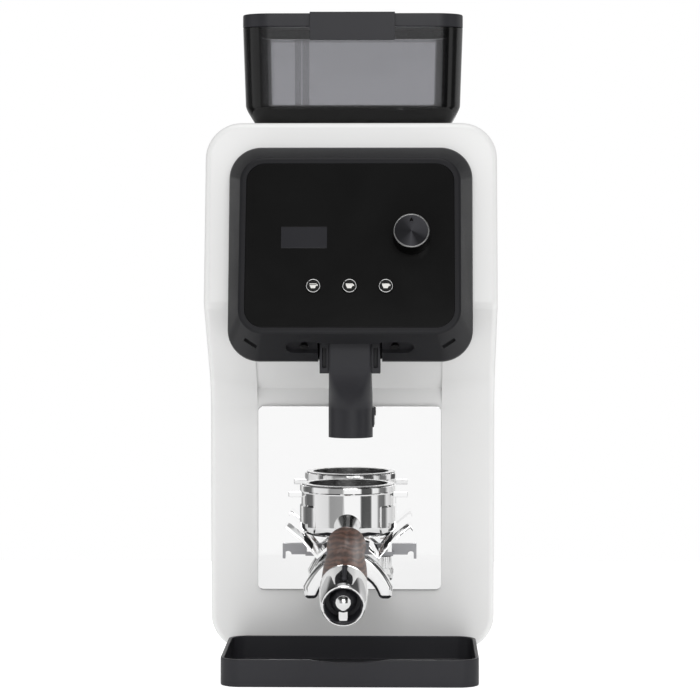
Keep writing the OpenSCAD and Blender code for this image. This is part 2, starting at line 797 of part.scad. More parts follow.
module portafilter_bowl() {
    color("silver") difference() {
        union() {
            on_bowl() rotate_extrude() polygon([
                [0, bowl_z], [bowl_r - 7, bowl_z], [bowl_r - 3, bowl_z + 1.5], [bowl_r - 1, bowl_z + 5],
                [bowl_r, bowl_z + 10], [bowl_r, rim_z - 5], [bowl_r + 1, rim_z - 4], [bowl_r + 1,
                    rim_z - 0.6],
                [bowl_r + 0.4, rim_z], [0, rim_z]]);
            on_bowl(rim_z - 9) translate([-lug_span / 2, -6, 0]) cube([lug_span, 12, 4]);
            on_handle(bowl_r - 8) cylinder(r1 = 10, r2 = 8, h = grip_start - bowl_r + 8);
        }
        on_bowl(bowl_z + 3) cylinder(r = bowl_in, h = bowl_h);
        on_bowl(bowl_z - eps) cylinder(r = 5, h = 10);
        on_handle(grip_start - 14) cylinder(r = rod_r, h = 20);
    }
}

module portafilter_basket() {
    color("gainsboro") on_bowl(rim_z - 24) rotate_extrude() polygon([
        [0, 0], [basket_r - 3, 0], [basket_r, 8], [basket_r, 24], [bowl_r - 0.4, 24], [bowl_r - 0.4, 24.8],
        [basket_r - basket_t, 24.8], [basket_r - basket_t, 8.2], [basket_r - 3 - basket_t, 1], [0, 1]]);
}

module basket_spring() {
    color("gray") on_bowl(rim_z - 12) rotate_extrude()
        translate([basket_r + wire_r, 0]) circle(r = wire_r);
}

spout_x = 27;
module portafilter_spout() {
    color("silver") on_bowl() difference() {
        union() {
            translate([0, 0, bowl_z - 8]) cylinder(r = 9.5, h = 8);
            along_y(-7, 7) polygon([
                [-10, bowl_z - 8], [-10, bowl_z - 14], [-spout_x - 5, spout_z + 10], [-spout_x - 5,
                    spout_z],
                [-spout_x + 5, spout_z], [-spout_x + 6, spout_z + 7], [0, bowl_z - 27],
                [spout_x - 6, spout_z + 7], [spout_x - 5, spout_z], [spout_x + 5, spout_z],
                [spout_x + 5, spout_z + 10], [10, bowl_z - 14], [10, bowl_z - 8]]);
        }
        translate([0, 0, bowl_z - 18]) cylinder(r = 5, h = 30);
        along_y(-4, 4) polygon([
            [0, bowl_z - 12], [-7, bowl_z - 16], [-spout_x - 3, spout_z + 8], [-spout_x - 3, spout_z - eps],
            [-spout_x + 3, spout_z - eps], [-spout_x + 3, spout_z + 8], [0, bowl_z - 21],
            [spout_x - 3, spout_z + 8], [spout_x - 3, spout_z - eps], [spout_x + 3, spout_z - eps],
            [spout_x + 3, spout_z + 8], [7, bowl_z - 16]]);
    }
}
spout_z = bowl_z - 46;

rod_r = 4;
module handle_rod() {
    color("gray") on_handle(grip_start - 14) cylinder(r = rod_r, h = grip_l + 24);
}

module handle_grip() {
    color([0.35, 0.24, 0.2]) on_handle(grip_start) rotate_extrude() polygon(concat(
        [[rod_r, 0], [grip_d / 2 - 3, 0], [grip_d / 2 - 0.8, 1.6]],
        [for (i = [0 : 8]) let (t = i / 8)
            [grip_d / 2 + (cap_r - 0.8 - grip_d / 2) * t * t * (3 - 2 * t), 4 + (grip_l - 4) * t]],
        [[rod_r, grip_l]]));
}

module handle_cap() {
    color("silver") on_handle(grip_end) difference() {
        rotate_extrude() polygon([
            [0, 0], [cap_r - 0.5, 0], [cap_r, 1], [cap_r, cap_l * 0.45], [cap_r - 0.6, cap_l * 0.75],
            [cap_end_r, cap_l], [cap_end_r - 1.6, cap_l], [cap_r - 4.6, cap_l * 0.6], [0, cap_l * 0.6]]);
        translate([0, 0, -eps]) cylinder(r = rod_r, h = 10 + eps);
    }
    color("silver") on_handle(grip_end + cap_l * 0.6) translate([-4, -9, 0]) cube([8, 6, cap_l * 0.4]);
}

// ---- hopper ---------------------------------------------------------------------

// one thin slice of the hopper's outline, its sides moved inwards by d
module hopper_slice(z, d) {
    on_axis(z) linear_extrude(0.1) round_rect(hopper_w - 2 * d, hopper_d - 2 * d, max(hopper_r - d / 2,
        4), $fn = 32);
}

// how far the side has moved in, at height h above the hopper's bottom
function taper_at(h) = hopper_taper / 2 * (1 - h / (hopper_h - touch_gap));

module hopper_body() {
    color([0.4, 0.4, 0.42, 0.5]) difference() {
        union() {
            hull() {
                for (a = [0 : 22.5 : 90])
                    hopper_slice(hopper_z + hopper_curve * (1 - cos(a)),
                        taper_at(hopper_curve) + 7.5 * (1 - sin(a)));
                hopper_slice(hopper_rim - touch_gap - 0.1, 0);
            }
            on_axis(neck_low) cylinder(r = neck_r, h = hopper_z - neck_low + 2);
        }
        hull() {
            hopper_slice(hopper_floor, hopper_t + taper_at(12) + 1);
            hopper_slice(hopper_floor + 4, hopper_t + taper_at(16));
            hopper_slice(hopper_rim + 1, hopper_t);
        }
        on_axis(hopper_z + 2) cylinder(r1 = neck_r - neck_t, r2 = 62, h = 10.7);
        on_axis(neck_low - eps) cylinder(r = neck_r - neck_t, h = 40);
    }
}

module hopper_guard() {
    color([0.15, 0.15, 0.16]) on_axis(hopper_z - 4) {
        tube(neck_r - neck_t, neck_r - neck_t - 2, 5);
        for (a = [90 : 120 : 330]) rotate(a) translate([8, -1.5, 0]) cube([neck_r - neck_t - 9, 3, 4]);
        cylinder(r1 = 10, r2 = 8, h = 8);
        translate([0, 0, 8]) cylinder(r1 = 8, r2 = 4, h = 3);
    }
}

module hopper_lid() {
    color([0.12, 0.12, 0.13]) {
        difference() {
            on_axis(hopper_rim) linear_extrude(lid_h) round_rect(hopper_w, hopper_d, hopper_r);
            on_axis(hopper_rim - eps) linear_extrude(lid_h - 3 + eps)
                round_rect(hopper_w - 12, hopper_d - 12, hopper_r - 6);
        }
        on_axis(hopper_rim - lid_skirt) linear_extrude(lid_skirt + 3) difference() {
            round_rect(hopper_w - 2 * hopper_t - 3, hopper_d - 2 * hopper_t - 3, hopper_r - 4);
            round_rect(hopper_w - 2 * hopper_t - 8, hopper_d - 2 * hopper_t - 8, hopper_r - 6.5);
        }
        translate([-lid_tab_w / 2, -hopper_front - 2.6, hopper_rim - lid_skirt]) cube([lid_tab_w, 2,
            lid_skirt + lid_h + 0.8]);
        translate([-lid_tab_w / 2, -hopper_front - 2.6, hopper_rim + 0.5]) cube([lid_tab_w, 6,
            lid_h - 0.5]);
    }
}

// ---- grinding parts -------------------------------------------------------------

module adjusting_ring() {
    color("silver") on_axis() difference() {
        translate([0, 0, ring_z]) cylinder(r = ring_r, h = ring_top - ring_z);
        translate([0, 0, ring_z - eps]) cylinder(r = collar_r + touch_gap, h = 60);
        translate([0, 0, ring_top - 10]) cylinder(r = collar_r + 8, h = 20);
        for (a = [0 : 15 : 345]) rotate(a) translate([ring_r + 0.6, 0, ring_z + 8]) cylinder(r = 2, h = 60);
    }
}

module upper_burr_carrier() {
    color("lightgray") difference() {
        on_axis() rotate_extrude() polygon([
            [bean_r, seat_z], [chamber_in - 0.4, seat_z], [chamber_in - 0.4, seat_z + 17],
                [collar_r, seat_z + 18],
            [collar_r, collar_top], [neck_r + 0.4, collar_top], [neck_r + 0.4, neck_low - 2],
            [bean_r, seat_z + 14]]);
        at_burr_screws(seat_z - eps, 0) cylinder(r = screw_r, h = 8 + eps);
    }
}

module at_burr_screws(z, start) {
    for (a = [start : 120 : start + 240]) on_axis(z) rotate(a) translate([burr_screw_r, 0, 0]) children();
}

// a flat ring burr, teeth up, its cutting face at z = burr_t
module flat_burr(bore) {
    difference() {
        cylinder(r = burr_r, h = burr_t);
        translate([0, 0, -eps]) cylinder(r = bore, h = burr_t + 2 * eps);
        translate([0, 0, burr_t - 2]) cylinder(r1 = bore, r2 = bore + 5, h = 2);
        for (a = [12 : 24 : 348]) rotate(a) translate([bore + 6, -0.8, burr_t - 1.2]) cube([burr_r,
            1.6, 5]);
        for (a = [0 : 120 : 240]) rotate(a) translate([burr_screw_r, 0, 0]) {
            translate([0, 0, -eps]) cylinder(r = screw_r + screw_fit, h = 20);
            translate([0, 0, burr_t - 3.4]) cylinder(r = 3.8, h = 20);
        }
    }
}

module lower_burr() {
    color("gray") on_axis(lower_z) flat_burr(bean_r - 1);
}

module upper_burr() {
    color("gray") on_axis(seat_z) mirror([0, 0, 1]) flat_burr(bean_r);
}

module lower_burr_screws() {
    color("silver") at_burr_screws(lower_z + burr_t - 3.4, 0) screw(3.6, 2.2, screw_r, 9);
}

module upper_burr_screws() {
    color("silver") at_burr_screws(seat_z - burr_t + 3.4, 0) mirror([0, 0, 1]) screw(3.6, 2.2, screw_r, 9);
}

module lower_burr_carrier() {
    color("lightgray") difference() {
        union() {
            on_axis(carrier_z) cylinder(r = burr_r + 2.5, h = carrier_t);
            for (a = [0, 180]) on_axis(carrier_z) rotate(a) translate([burr_r, -2, 0]) cube([5, 4, 8]);
        }
        on_axis(carrier_z - eps) cylinder(r = shaft_r, h = carrier_t + 2 * eps);
        at_burr_screws(lower_z - 9, 0) cylinder(r = screw_r, h = 20);
    }
}

mouth_z = chamber_z + chamber_floor - 1;
mouth_y = burr_y - chamber_r - 6;
module grinding_chamber() {
    color("darkgray") difference() {
        union() {
            on_axis(chamber_z) cylinder(r = chamber_r, h = chamber_h);
            translate([-duct_w / 2 - 2, mouth_y, mouth_z - 3]) cube([duct_w + 4, chamber_r, 24]);
        }
        on_axis(chamber_z + chamber_floor) cylinder(r = chamber_in, h = chamber_h);
        on_axis(chamber_z - eps) cylinder(r = shaft_r + 1, h = 20);
        translate([-duct_w / 2 + 2, mouth_y - eps, chamber_z + chamber_floor]) cube([duct_w - 4,
            chamber_r, 15]);
        at_motor_screws(chamber_z - eps) cylinder(r = screw_r, h = 4 + eps);
    }
}

// ---- motor ----------------------------------------------------------------------

module motor_housing() {
    color("darkslategray") on_axis(motor_z) difference() {
        cylinder(r = motor_r, h = motor_l - motor_top_t);
        translate([0, 0, 4 + bearing_t]) cylinder(r = motor_r - motor_wall, h = motor_l);
        translate([0, 0, 4]) cylinder(r = bearing_r, h = 20);
        difference() {
            translate([0, 0, 4]) cylinder(r = motor_r - motor_wall, h = 20);
            translate([0, 0, 3]) cylinder(r = bearing_r + 3, h = 30);
        }
        for (a = [0 : 30 : 330]) rotate(a) translate([motor_r - 10, -3, 16]) cube([20, 6, 12]);
    }
}

module motor_top() {
    color("silver") difference() {
        on_axis(shelf_z - motor_top_t) cylinder(r = motor_r, h = motor_top_t);
        on_axis(shelf_z - motor_top_t - eps) cylinder(r = bearing_r, h = bearing_t + eps);
        on_axis(shelf_z - 10) cylinder(r = shaft_r + 2, h = 20);
        on_axis(shelf_z - motor_top_t - eps) difference() {
            cylinder(r = motor_r - motor_wall, h = 7 + eps);
            cylinder(r = bearing_r + 3, h = 20);
        }
        at_motor_screws(shelf_z - 6) cylinder(r = screw_r, h = 20);
    }
}

module motor_bearings() {
    color("silver") for (z = [motor_z + 4, shelf_z - motor_top_t]) on_axis(z)
        tube(bearing_r, shaft_r + run_fit, bearing_t);
}

module motor_stator() {
    color("peru") on_axis() {
        translate([0, 0, stator_z]) tube(motor_r - motor_wall, stator_in, stator_l);
        for (z = [stator_z - 12, stator_z + stator_l]) translate([0, 0, z])
            tube(motor_r - motor_wall - 2, stator_in + 2, 12);
    }
}

module motor_rotor() {
    color("gray") on_axis(stator_z) tube(stator_in - rotor_gap, shaft_r, stator_l);
}

module motor_shaft() {
    color("silver") on_axis(motor_z + 5) cylinder(r = shaft_r, h = carrier_z + carrier_t - motor_z - 5);
}

fan_r = motor_r - motor_wall - 4;
module motor_fan() {
    color("black") on_axis(motor_z + 17) difference() {
        union() {
            cylinder(r = 10, h = 9);
            cylinder(r = fan_r, h = 2);
            for (a = [0 : 45 : 315]) rotate(a) translate([9, -1, 0]) cube([fan_r - 11, 2, 9]);
        }
        translate([0, 0, -eps]) cylinder(r = shaft_r, h = 20);
    }
}

// ---- electrics ------------------------------------------------------------------

module run_capacitor() {
    color("white") translate([-48, chassis_y + chassis_t + 20, floor_z + 60]) {
        cylinder(r = 14, h = 60);
        translate([-4, -20, 20]) cube([8, 10, 20]);
    }
}

module power_board() {
    color("darkgreen") translate([0, chassis_y + chassis_t, 0]) {
        for (x = [0, 50], z = [150, 220]) translate([x, 6, z]) rotate([90, 0, 0]) cylinder(r = 3, h = 6);
        translate([-8, 6, 142]) cube([66, 1.6, 86]);
        translate([4, 7.6, 160]) cube([16, 14, 20]);
        translate([30, 7.6, 152]) cube([20, 12, 24]);
        translate([28, 13.4, 204]) rotate([90, 0, 0]) cylinder(r = 6, h = 5.8);
    }
}

module mains_inlet() {
    color("black") difference() {
        union() {
            translate([inlet_x - 16, column_d, inlet_z - 13]) cube([32, inlet_proud, 26]);
            translate([inlet_x - inlet_w / 2 + 0.2, column_d - 20, inlet_z - inlet_d / 2 + 0.2])
                cube([inlet_w - 0.4, 20, inlet_d - 0.4]);
        }
        translate([inlet_x - 11.8, column_d - 17, inlet_z - 8]) cube([23.6, 30, 16]);
    }
    color("silver") for (p = [[-7, -2], [0, 2], [7, -2]])
        translate([inlet_x + p[0] - 1, column_d - 18, inlet_z + p[1] - 2]) cube([2, 16, 4]);
}

module switch_frame() {
    color("black") difference() {
        union() {
            translate([switch_x - 11.5, column_d, inlet_z - 8.5]) cube([23, 1.6, 17]);
            translate([switch_x - switch_w / 2 + 0.2, column_d - 16, inlet_z - switch_h / 2 + 0.2])
                cube([switch_w - 0.4, 16, switch_h - 0.4]);
        }
        translate([switch_x - 8, column_d - 10, inlet_z - 5]) cube([16, 20, 10]);
    }
}

module switch_rocker() {
    color([0.25, 0.25, 0.26]) translate([switch_x, column_d - 2, inlet_z]) rotate([0, 0, rocker_lean])
        translate([-7.3, -3, -4.6]) cube([14.6, 4.6, 9.2]);
}

// ---- tray -----------------------------------------------------------------------

tray_gap = 0.5;
module drip_tray() {
    color([0.14, 0.14, 0.15]) translate([0, -tray_d / 2 - tray_gap, 0]) difference() {
        linear_extrude(tray_h) round_rect(tray_w, tray_d, tray_r);
        translate([0, 0, tray_t]) linear_extrude(tray_h)
            round_rect(tray_w - 2 * tray_t, tray_d - 2 * tray_t, tray_r - tray_t);
        translate([0, -tray_d / 2, tray_h + 190]) rotate([90, 0, 0]) cylinder(r = 192, h = 20, center =
            true, $fn = 180);
    }
}

// ---- the whole grinder ------------------------------------------------------------

module in_frame() {
    translate([0, front_y, 0]) children();
}

in_frame() body_shell();
in_frame() base_plate();
in_frame() rubber_feet();
in_frame() foot_screws();
in_frame() rear_cover();
in_frame() rear_screws();
in_frame() mirror_plate();
in_frame() chassis();
in_frame() chassis_screws();
in_frame() head_housing();
in_frame() front_panel();
in_frame() display();
in_frame() control_board();
in_frame() button_switches();
in_frame() encoder();
in_frame() underside_screws();
in_frame() button_left();
in_frame() button_middle();
in_frame() button_right();
in_frame() knob();
in_frame() knob_shaft();
in_frame() chute_block();
in_frame() chute_clips();
in_frame() grounds_duct();
in_frame() fork_bracket();
in_frame() fork_arms();
in_frame() fork_pads();
in_frame() fork_screws();
in_frame() thumb_screw();
in_frame() portafilter_bowl();
in_frame() portafilter_basket();
in_frame() basket_spring();
in_frame() portafilter_spout();
in_frame() handle_grip();
in_frame() handle_rod();
in_frame() handle_cap();
in_frame() hopper_body();
in_frame() hopper_guard();
in_frame() hopper_lid();
in_frame() adjusting_ring();
in_frame() upper_burr_carrier();
in_frame() upper_burr();
in_frame() upper_burr_screws();
in_frame() grinding_chamber();
in_frame() lower_burr();
in_frame() lower_burr_screws();
in_frame() lower_burr_carrier();
in_frame() motor_housing();
in_frame() motor_top();
in_frame() motor_bearings();
in_frame() motor_stator();
in_frame() motor_rotor();
in_frame() motor_shaft();
in_frame() motor_fan();
in_frame() run_capacitor();
in_frame() power_board();
in_frame() mains_inlet();
in_frame() switch_frame();
in_frame() switch_rocker();
in_frame() drip_tray();
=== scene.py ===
# %% [markdown]
# # A burr coffee grinder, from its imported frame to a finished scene
# The engineering model arrives as a fixed frame: every part is in its place, in metres, with the
# column's front, the burrs' axis and all fits already settled. Here the parts that are seen get
# better meshes, and every part gets a finish. Nothing is moved or resized.

# %% Load the frame
import math
import bmesh
import bpy
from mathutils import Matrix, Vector


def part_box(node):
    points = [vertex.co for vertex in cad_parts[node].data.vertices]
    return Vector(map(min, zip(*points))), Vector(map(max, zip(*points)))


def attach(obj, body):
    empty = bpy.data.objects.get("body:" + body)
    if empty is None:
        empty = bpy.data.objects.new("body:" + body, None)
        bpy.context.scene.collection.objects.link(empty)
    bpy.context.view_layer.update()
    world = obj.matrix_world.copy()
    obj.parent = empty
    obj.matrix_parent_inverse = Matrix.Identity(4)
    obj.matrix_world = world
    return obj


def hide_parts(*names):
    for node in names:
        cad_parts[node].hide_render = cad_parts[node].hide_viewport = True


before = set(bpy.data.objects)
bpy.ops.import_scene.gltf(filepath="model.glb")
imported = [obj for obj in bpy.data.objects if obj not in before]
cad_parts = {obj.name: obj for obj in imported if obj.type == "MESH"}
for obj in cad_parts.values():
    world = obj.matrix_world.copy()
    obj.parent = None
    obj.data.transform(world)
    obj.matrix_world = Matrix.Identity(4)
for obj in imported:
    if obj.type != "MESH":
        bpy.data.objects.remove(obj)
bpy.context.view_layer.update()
for plain in bpy.data.materials:
    plain.name = "plain_" + plain.name

# %% [markdown]
# ## One way of working for every piece
# A maker thinks of this object in millimetres from the column's front face, so each new piece is
# drawn that way and turned into metres once, when it is finished. The helpers below are the moves
# of hand modelling: clear the selection, take a piece, choose some of its faces or edges by their
# place, and let an operator act on them.

# %% Millimetres and boxes
MM = 0.001
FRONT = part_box("mirror_plate")[1].y


def span(node):
    """A node's lowest and highest corner, in millimetres from the column's front."""
    low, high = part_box(node)
    shift = Vector((0, FRONT, 0))
    return (low - shift) / MM, (high - shift) / MM


# %% [markdown]
# Blender's operators act on all that is selected, so every move begins with a clean selection. In
# edit mode, points and edges are then picked by where they are, and faces by where they look.

# %% Taking and choosing
def clear():
    if bpy.context.object and bpy.context.object.mode != "OBJECT":
        bpy.ops.object.mode_set(mode="OBJECT")
    bpy.ops.object.select_all(action="DESELECT")


def take(*pieces):
    clear()
    for piece in pieces:
        piece.select_set(True)
    bpy.context.view_layer.objects.active = pieces[0]
    return pieces[0]


def middle(part):
    return sum((v.co for v in part.verts), Vector()) / len(part.verts)


def choose(piece, kind, test):
    """Goes into edit mode with just the points, edges or faces selected that pass a test."""
    take(piece)
    bpy.ops.object.mode_set(mode="EDIT")
    bpy.ops.mesh.select_mode(type=kind)
    bpy.ops.mesh.select_all(action="DESELECT")
    net = bmesh.from_edit_mesh(piece.data)
    net.normal_update()
    parts = {"VERT": net.verts, "EDGE": net.edges, "FACE": net.faces}[kind]
    for part in parts:
        if kind == "VERT":
            part.select = test(part.co)
        elif kind == "EDGE":
            part.select = test(*[v.co for v in part.verts])
        else:
            part.select = test(middle(part), part.normal)
    net.select_flush_mode()
    bmesh.update_edit_mesh(piece.data)


def choose_all(piece, kind="VERT"):
    choose(piece, kind, lambda *_: True)


NEAR = 0.02


def at(*values):
    """A test for points and edges: is each given coordinate there? None means anywhere."""
    def test(*corners):
        return all(abs(c[i] - v) < NEAR for c in corners for i, v in enumerate(values) if v is not None)
    return test


# %% [markdown]
# Every piece starts as a simple shape: a block, a rod, a sheet with round corners, a line spun on
# the lathe, an outline drawn out, or a stack of slices bridged into one skin. Each is only a start,
# which bevels, cuts and unions then turn into the piece.

# %% Starting shapes
def block(low, high):
    """A cube with its corners at two places."""
    clear()
    low, high = Vector(low), Vector(high)
    bpy.ops.mesh.primitive_cube_add(size=1, location=(low + high) / 2, scale=high - low)
    bpy.ops.object.transform_apply(location=True, rotation=True, scale=True)
    return bpy.context.object


def rod(radius, low, high, x=0.0, y=0.0, sides=96):
    """An upright cylinder."""
    clear()
    bpy.ops.mesh.primitive_cylinder_add(
        vertices=sides, radius=radius, depth=high - low, location=(x, y, (low + high) / 2))
    bpy.ops.object.transform_apply(location=True, rotation=True, scale=True)
    return bpy.context.object


def sheet_with_corners(width, height, radius, steps=10):
    """A flat plate in X and Y whose four corners are rounded."""
    clear()
    bpy.ops.mesh.primitive_plane_add(size=1)
    plate = bpy.context.object
    plate.scale = (width, height, 1)
    bpy.ops.object.transform_apply(location=True, rotation=True, scale=True)
    choose_all(plate)
    bpy.ops.mesh.bevel(offset=radius, segments=steps, affect="VERTICES")
    clear()
    return plate


def raised(sheet, height):
    """A flat sheet drawn up into a plate."""
    choose_all(sheet)
    bpy.ops.mesh.extrude_region_move(TRANSFORM_OT_translate={"value": (0, 0, height)})
    bpy.ops.mesh.select_all(action="SELECT")
    bpy.ops.mesh.normals_make_consistent(inside=False)
    clear()
    return sheet


def line(points):
    """A chain of points, drawn by extruding the first one again and again."""
    clear()
    points = [Vector(p) for p in points]
    bpy.ops.mesh.primitive_plane_add(size=1)
    piece = bpy.context.object
    choose_all(piece)
    bpy.ops.mesh.merge(type="CENTER")
    bpy.ops.transform.translate(value=points[0])
    for a, b in zip(points, points[1:]):
        bpy.ops.mesh.extrude_vertices_move(TRANSFORM_OT_translate={"value": b - a})
    clear()
    return piece


def turned(profile, sides=96):
    """A lathe: a line of (radius, height) points spun once round Z, with its seam closed."""
    piece = line([(r, 0, h) for r, h in profile])
    choose_all(piece)
    bpy.ops.mesh.spin(steps=sides, angle=2 * math.pi, center=(0, 0, 0), axis=(0, 0, 1))
    bpy.ops.mesh.select_all(action="SELECT")
    bpy.ops.mesh.remove_doubles(threshold=0.005)
    bpy.ops.mesh.normals_make_consistent(inside=False)
    clear()
    return piece


def prism(outline, depth):
    """A closed outline filled and drawn out: a list of points in space, and one direction."""
    piece = line(outline)
    choose_all(piece)
    bpy.ops.mesh.edge_face_add()
    bpy.ops.mesh.extrude_region_move(TRANSFORM_OT_translate={"value": depth})
    bpy.ops.mesh.select_all(action="SELECT")
    bpy.ops.mesh.normals_make_consistent(inside=False)
    clear()
    return piece


def stack(slices, y=0.0, steps=10):
    """Rounded rectangles, each (width, depth, corner radius, height, maybe y), bridged to a solid."""
    rings = [place(sheet_with_corners(w, d, r, steps), (0, own[0] if own else y, z))
             for w, d, r, z, *own in slices]
    body = together(*rings)
    choose_all(body, "FACE")
    bpy.ops.mesh.delete(type="ONLY_FACE")
    choose_all(body, "EDGE")
    bpy.ops.mesh.bridge_edge_loops()
    for height in (slices[0][3], slices[-1][3]):
        choose(body, "EDGE", at(None, None, height))
        bpy.ops.mesh.edge_face_add()
    choose_all(body)
    bpy.ops.mesh.normals_make_consistent(inside=False)
    clear()
    return body


def arc(x, y, radius, start, end, steps=8):
    """Points along an arc, with its angles in degrees."""
    turns = [math.radians(start + (end - start) * i / steps) for i in range(steps + 1)]
    return [(x + radius * math.cos(a), y + radius * math.sin(a)) for a in turns]


# %% [markdown]
# Modifiers do the rounding and the joining, and are applied at once, so that the next move works on
# real faces. The manifold solver is quick and exact, but it needs closed solids on both sides.

# %% Shaping moves
def place(piece, shift=(0, 0, 0), tilt=0.0, turn=0.0):
    """Tilts a piece about X and turns it about Z, in degrees, then sets it down."""
    take(piece)
    piece.rotation_euler = (math.radians(tilt), 0, math.radians(turn))
    piece.location = shift
    bpy.ops.object.transform_apply(location=True, rotation=True, scale=True)
    return piece


def modify(piece, kind, **settings):
    """Adds a modifier and applies it."""
    take(piece)
    step = piece.modifiers.new(kind.lower(), kind)
    for name, value in settings.items():
        setattr(step, name, value)
    bpy.ops.object.modifier_apply(modifier=step.name)
    return piece


def soften(piece, width, steps=2, angle=35):
    """Rounds every edge sharper than an angle, as moulding and polishing do."""
    return modify(piece, "BEVEL", width=width, segments=steps, limit_method="ANGLE",
                  angle_limit=math.radians(angle), miter_outer="MITER_ARC")


def cut(piece, *cutters):
    for cutter in cutters:
        modify(piece, "BOOLEAN", operation="DIFFERENCE", solver="MANIFOLD", object=cutter)
        bpy.data.objects.remove(cutter)
    return piece


def fuse(piece, *others):
    for other in others:
        modify(piece, "BOOLEAN", operation="UNION", solver="MANIFOLD", object=other)
        bpy.data.objects.remove(other)
    return piece


def together(*pieces):
    """Joins loose pieces into one object, without merging them."""
    take(*pieces)
    bpy.ops.object.join()
    return pieces[0]


def from_node(node):
    """A merged copy of one of the frame's parts, in millimetres, to round its edges."""
    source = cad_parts[node]
    copy = bpy.data.objects.new(node + "_piece", source.data.copy())
    bpy.context.collection.objects.link(copy)
    take(copy)
    copy.location = (0, -FRONT / MM, 0)
    copy.scale = (1 / MM, 1 / MM, 1 / MM)
    bpy.ops.object.transform_apply(location=True, rotation=True, scale=True)
    choose_all(copy)
    bpy.ops.mesh.remove_doubles(threshold=0.01)
    bpy.ops.mesh.dissolve_limited(angle_limit=math.radians(0.5))
    clear()
    return copy


# %% [markdown]
# A finished piece is scaled to metres about the world's origin, which leaves its place in its mesh.
# It is shaded smooth up to a given angle, and its normals are weighted by face size, so that large
# flat faces stay flat right up to their rounded edges.

# %% Handing a piece in
def done(piece, name, body, finish, *nodes, angle=40):
    """Turns a piece into metres, names and paints it, and lets it ride and stand for its nodes."""
    take(piece)
    piece.name = piece.data.name = name
    piece.scale = (MM, MM, MM)
    piece.location = (0, FRONT, 0)
    bpy.ops.object.transform_apply(location=True, rotation=True, scale=True)
    bpy.ops.object.shade_smooth_by_angle(angle=math.radians(angle))
    modify(piece, "WEIGHTED_NORMAL", keep_sharp=True, weight=100)
    clear()
    piece.data.materials.clear()
    piece.data.materials.append(finish)
    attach(piece, body)
    if nodes:
        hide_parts(*nodes)
    print("made", name, len(piece.data.polygons), "faces")
    return piece


# %% [markdown]
# ## Camera, floor and light
# A long lens from about two metres, a little right of the middle and just under the top, keeps the
# sides almost parallel. The camera is turned instead of shifted, so that other views stay centred.

# %% Camera
LENS, DISTANCE = 144.15, 2.05
EYE_RIGHT, EYE_UP = 0.0383, 0.3186
TURN_DOWN, TURN_LEFT = math.radians(2.49), math.radians(1.12)
scene = bpy.context.scene
eye = bpy.data.cameras.new("camera")
eye.sensor_width = 36
eye.lens = LENS
camera = bpy.data.objects.new("camera", eye)
camera.location = (EYE_RIGHT, FRONT - DISTANCE, EYE_UP)
camera.rotation_euler = (math.pi / 2 - TURN_DOWN, 0, TURN_LEFT)
scene.collection.objects.link(camera)
scene.camera = camera
scene.view_settings.view_transform = "Standard"
print("camera at", [round(part, 3) for part in camera.location])

# %% [markdown]
# The studio is a light tent: white all round, so painted and brushed faces look even. Polished
# metal needs something dark to reflect, so the tent has soft dark bands at both sides, behind and
# overhead. The bands come from the direction of the light alone.

# %% Nodes
def add(tree, kind, inputs=None, **settings):
    """A node with its inputs set: a socket is wired, anything else becomes the default."""
    node = tree.nodes.new(kind)
    for key, value in settings.items():
        setattr(node, key, value)
    for key, value in (inputs or {}).items():
        if isinstance(value, bpy.types.NodeSocket):
            tree.links.new(value, node.inputs[key])
        else:
            node.inputs[key].default_value = value
    return node


def calculated(tree, operation, *values):
    """What a Math node makes of its values, which may be sockets or numbers."""
    return add(tree, "ShaderNodeMath", dict(enumerate(values)), operation=operation).outputs[0]


def set_stops(node, values):
    """Fills a colour ramp from the left, so that its stops stay in order."""
    stops = node.color_ramp.elements
    stops.remove(stops[1])
    stops[0].position, stops[0].color = values[0][0], (*values[0][1], 1)
    for spot, colour in values[1:]:
        stops.new(spot).color = (*colour, 1)


# %% [markdown]
# The bands are two colour ramps. One is read by the bearing of a direction and the other by its
# height, and what polished metal mirrors is the product of the two.

# %% The tent's bands
ROUND_THE_TENT = [(-180, 0.6), (-150, 0.5), (-120, 0.12), (-98, 0.15), (-88, 0.85), (-50, 0.75),
                  (-44, 0.32), (-12, 0.36), (-8, 1.0), (30, 1.0), (34, 0.08), (58, 0.10), (62, 0.9),
                  (76, 0.85), (82, 0.2), (100, 0.15), (110, 0.8), (150, 0.5), (180, 0.6)]
UP_THE_TENT = [(-1, 0.9), (0.0, 1.0), (0.34, 1.0), (0.48, 0.16), (0.80, 0.12), (0.92, 0.9), (1, 1.0)]
DIFFUSE_TENT = 0.74
world = bpy.data.worlds.new("tent")
scene.world = world
world.use_nodes = True
sky = world.node_tree
sky.nodes.clear()


def bands(values, start, end, share):
    """A colour ramp whose stops are (place, brightness), with places from start to end."""
    ramp = add(sky, "ShaderNodeValToRGB", {"Fac": share})
    set_stops(ramp, [((spot - start) / (end - start), (tone, tone, tone)) for spot, tone in values])
    return ramp.outputs["Color"]


direction = add(sky, "ShaderNodeTexCoord").outputs["Generated"]
split = add(sky, "ShaderNodeSeparateXYZ", {0: direction}).outputs
bearing = calculated(sky, "ARCTAN2", split["X"], calculated(sky, "MULTIPLY", split["Y"], -1.0))
sides = bands(ROUND_THE_TENT, -180, 180, calculated(sky, "MULTIPLY_ADD", bearing, 0.5 / math.pi, 0.5))
heights = bands(UP_THE_TENT, -1, 1, calculated(sky, "MULTIPLY_ADD", split["Z"], 0.5, 0.5))
print("tent with", len(ROUND_THE_TENT), "stops round it and", len(UP_THE_TENT), "up it")

# %% [markdown]
# Only reflections see the bands. Painted faces are lit by one even tone, and the camera sees plain
# white behind the object, also through clear plastic.

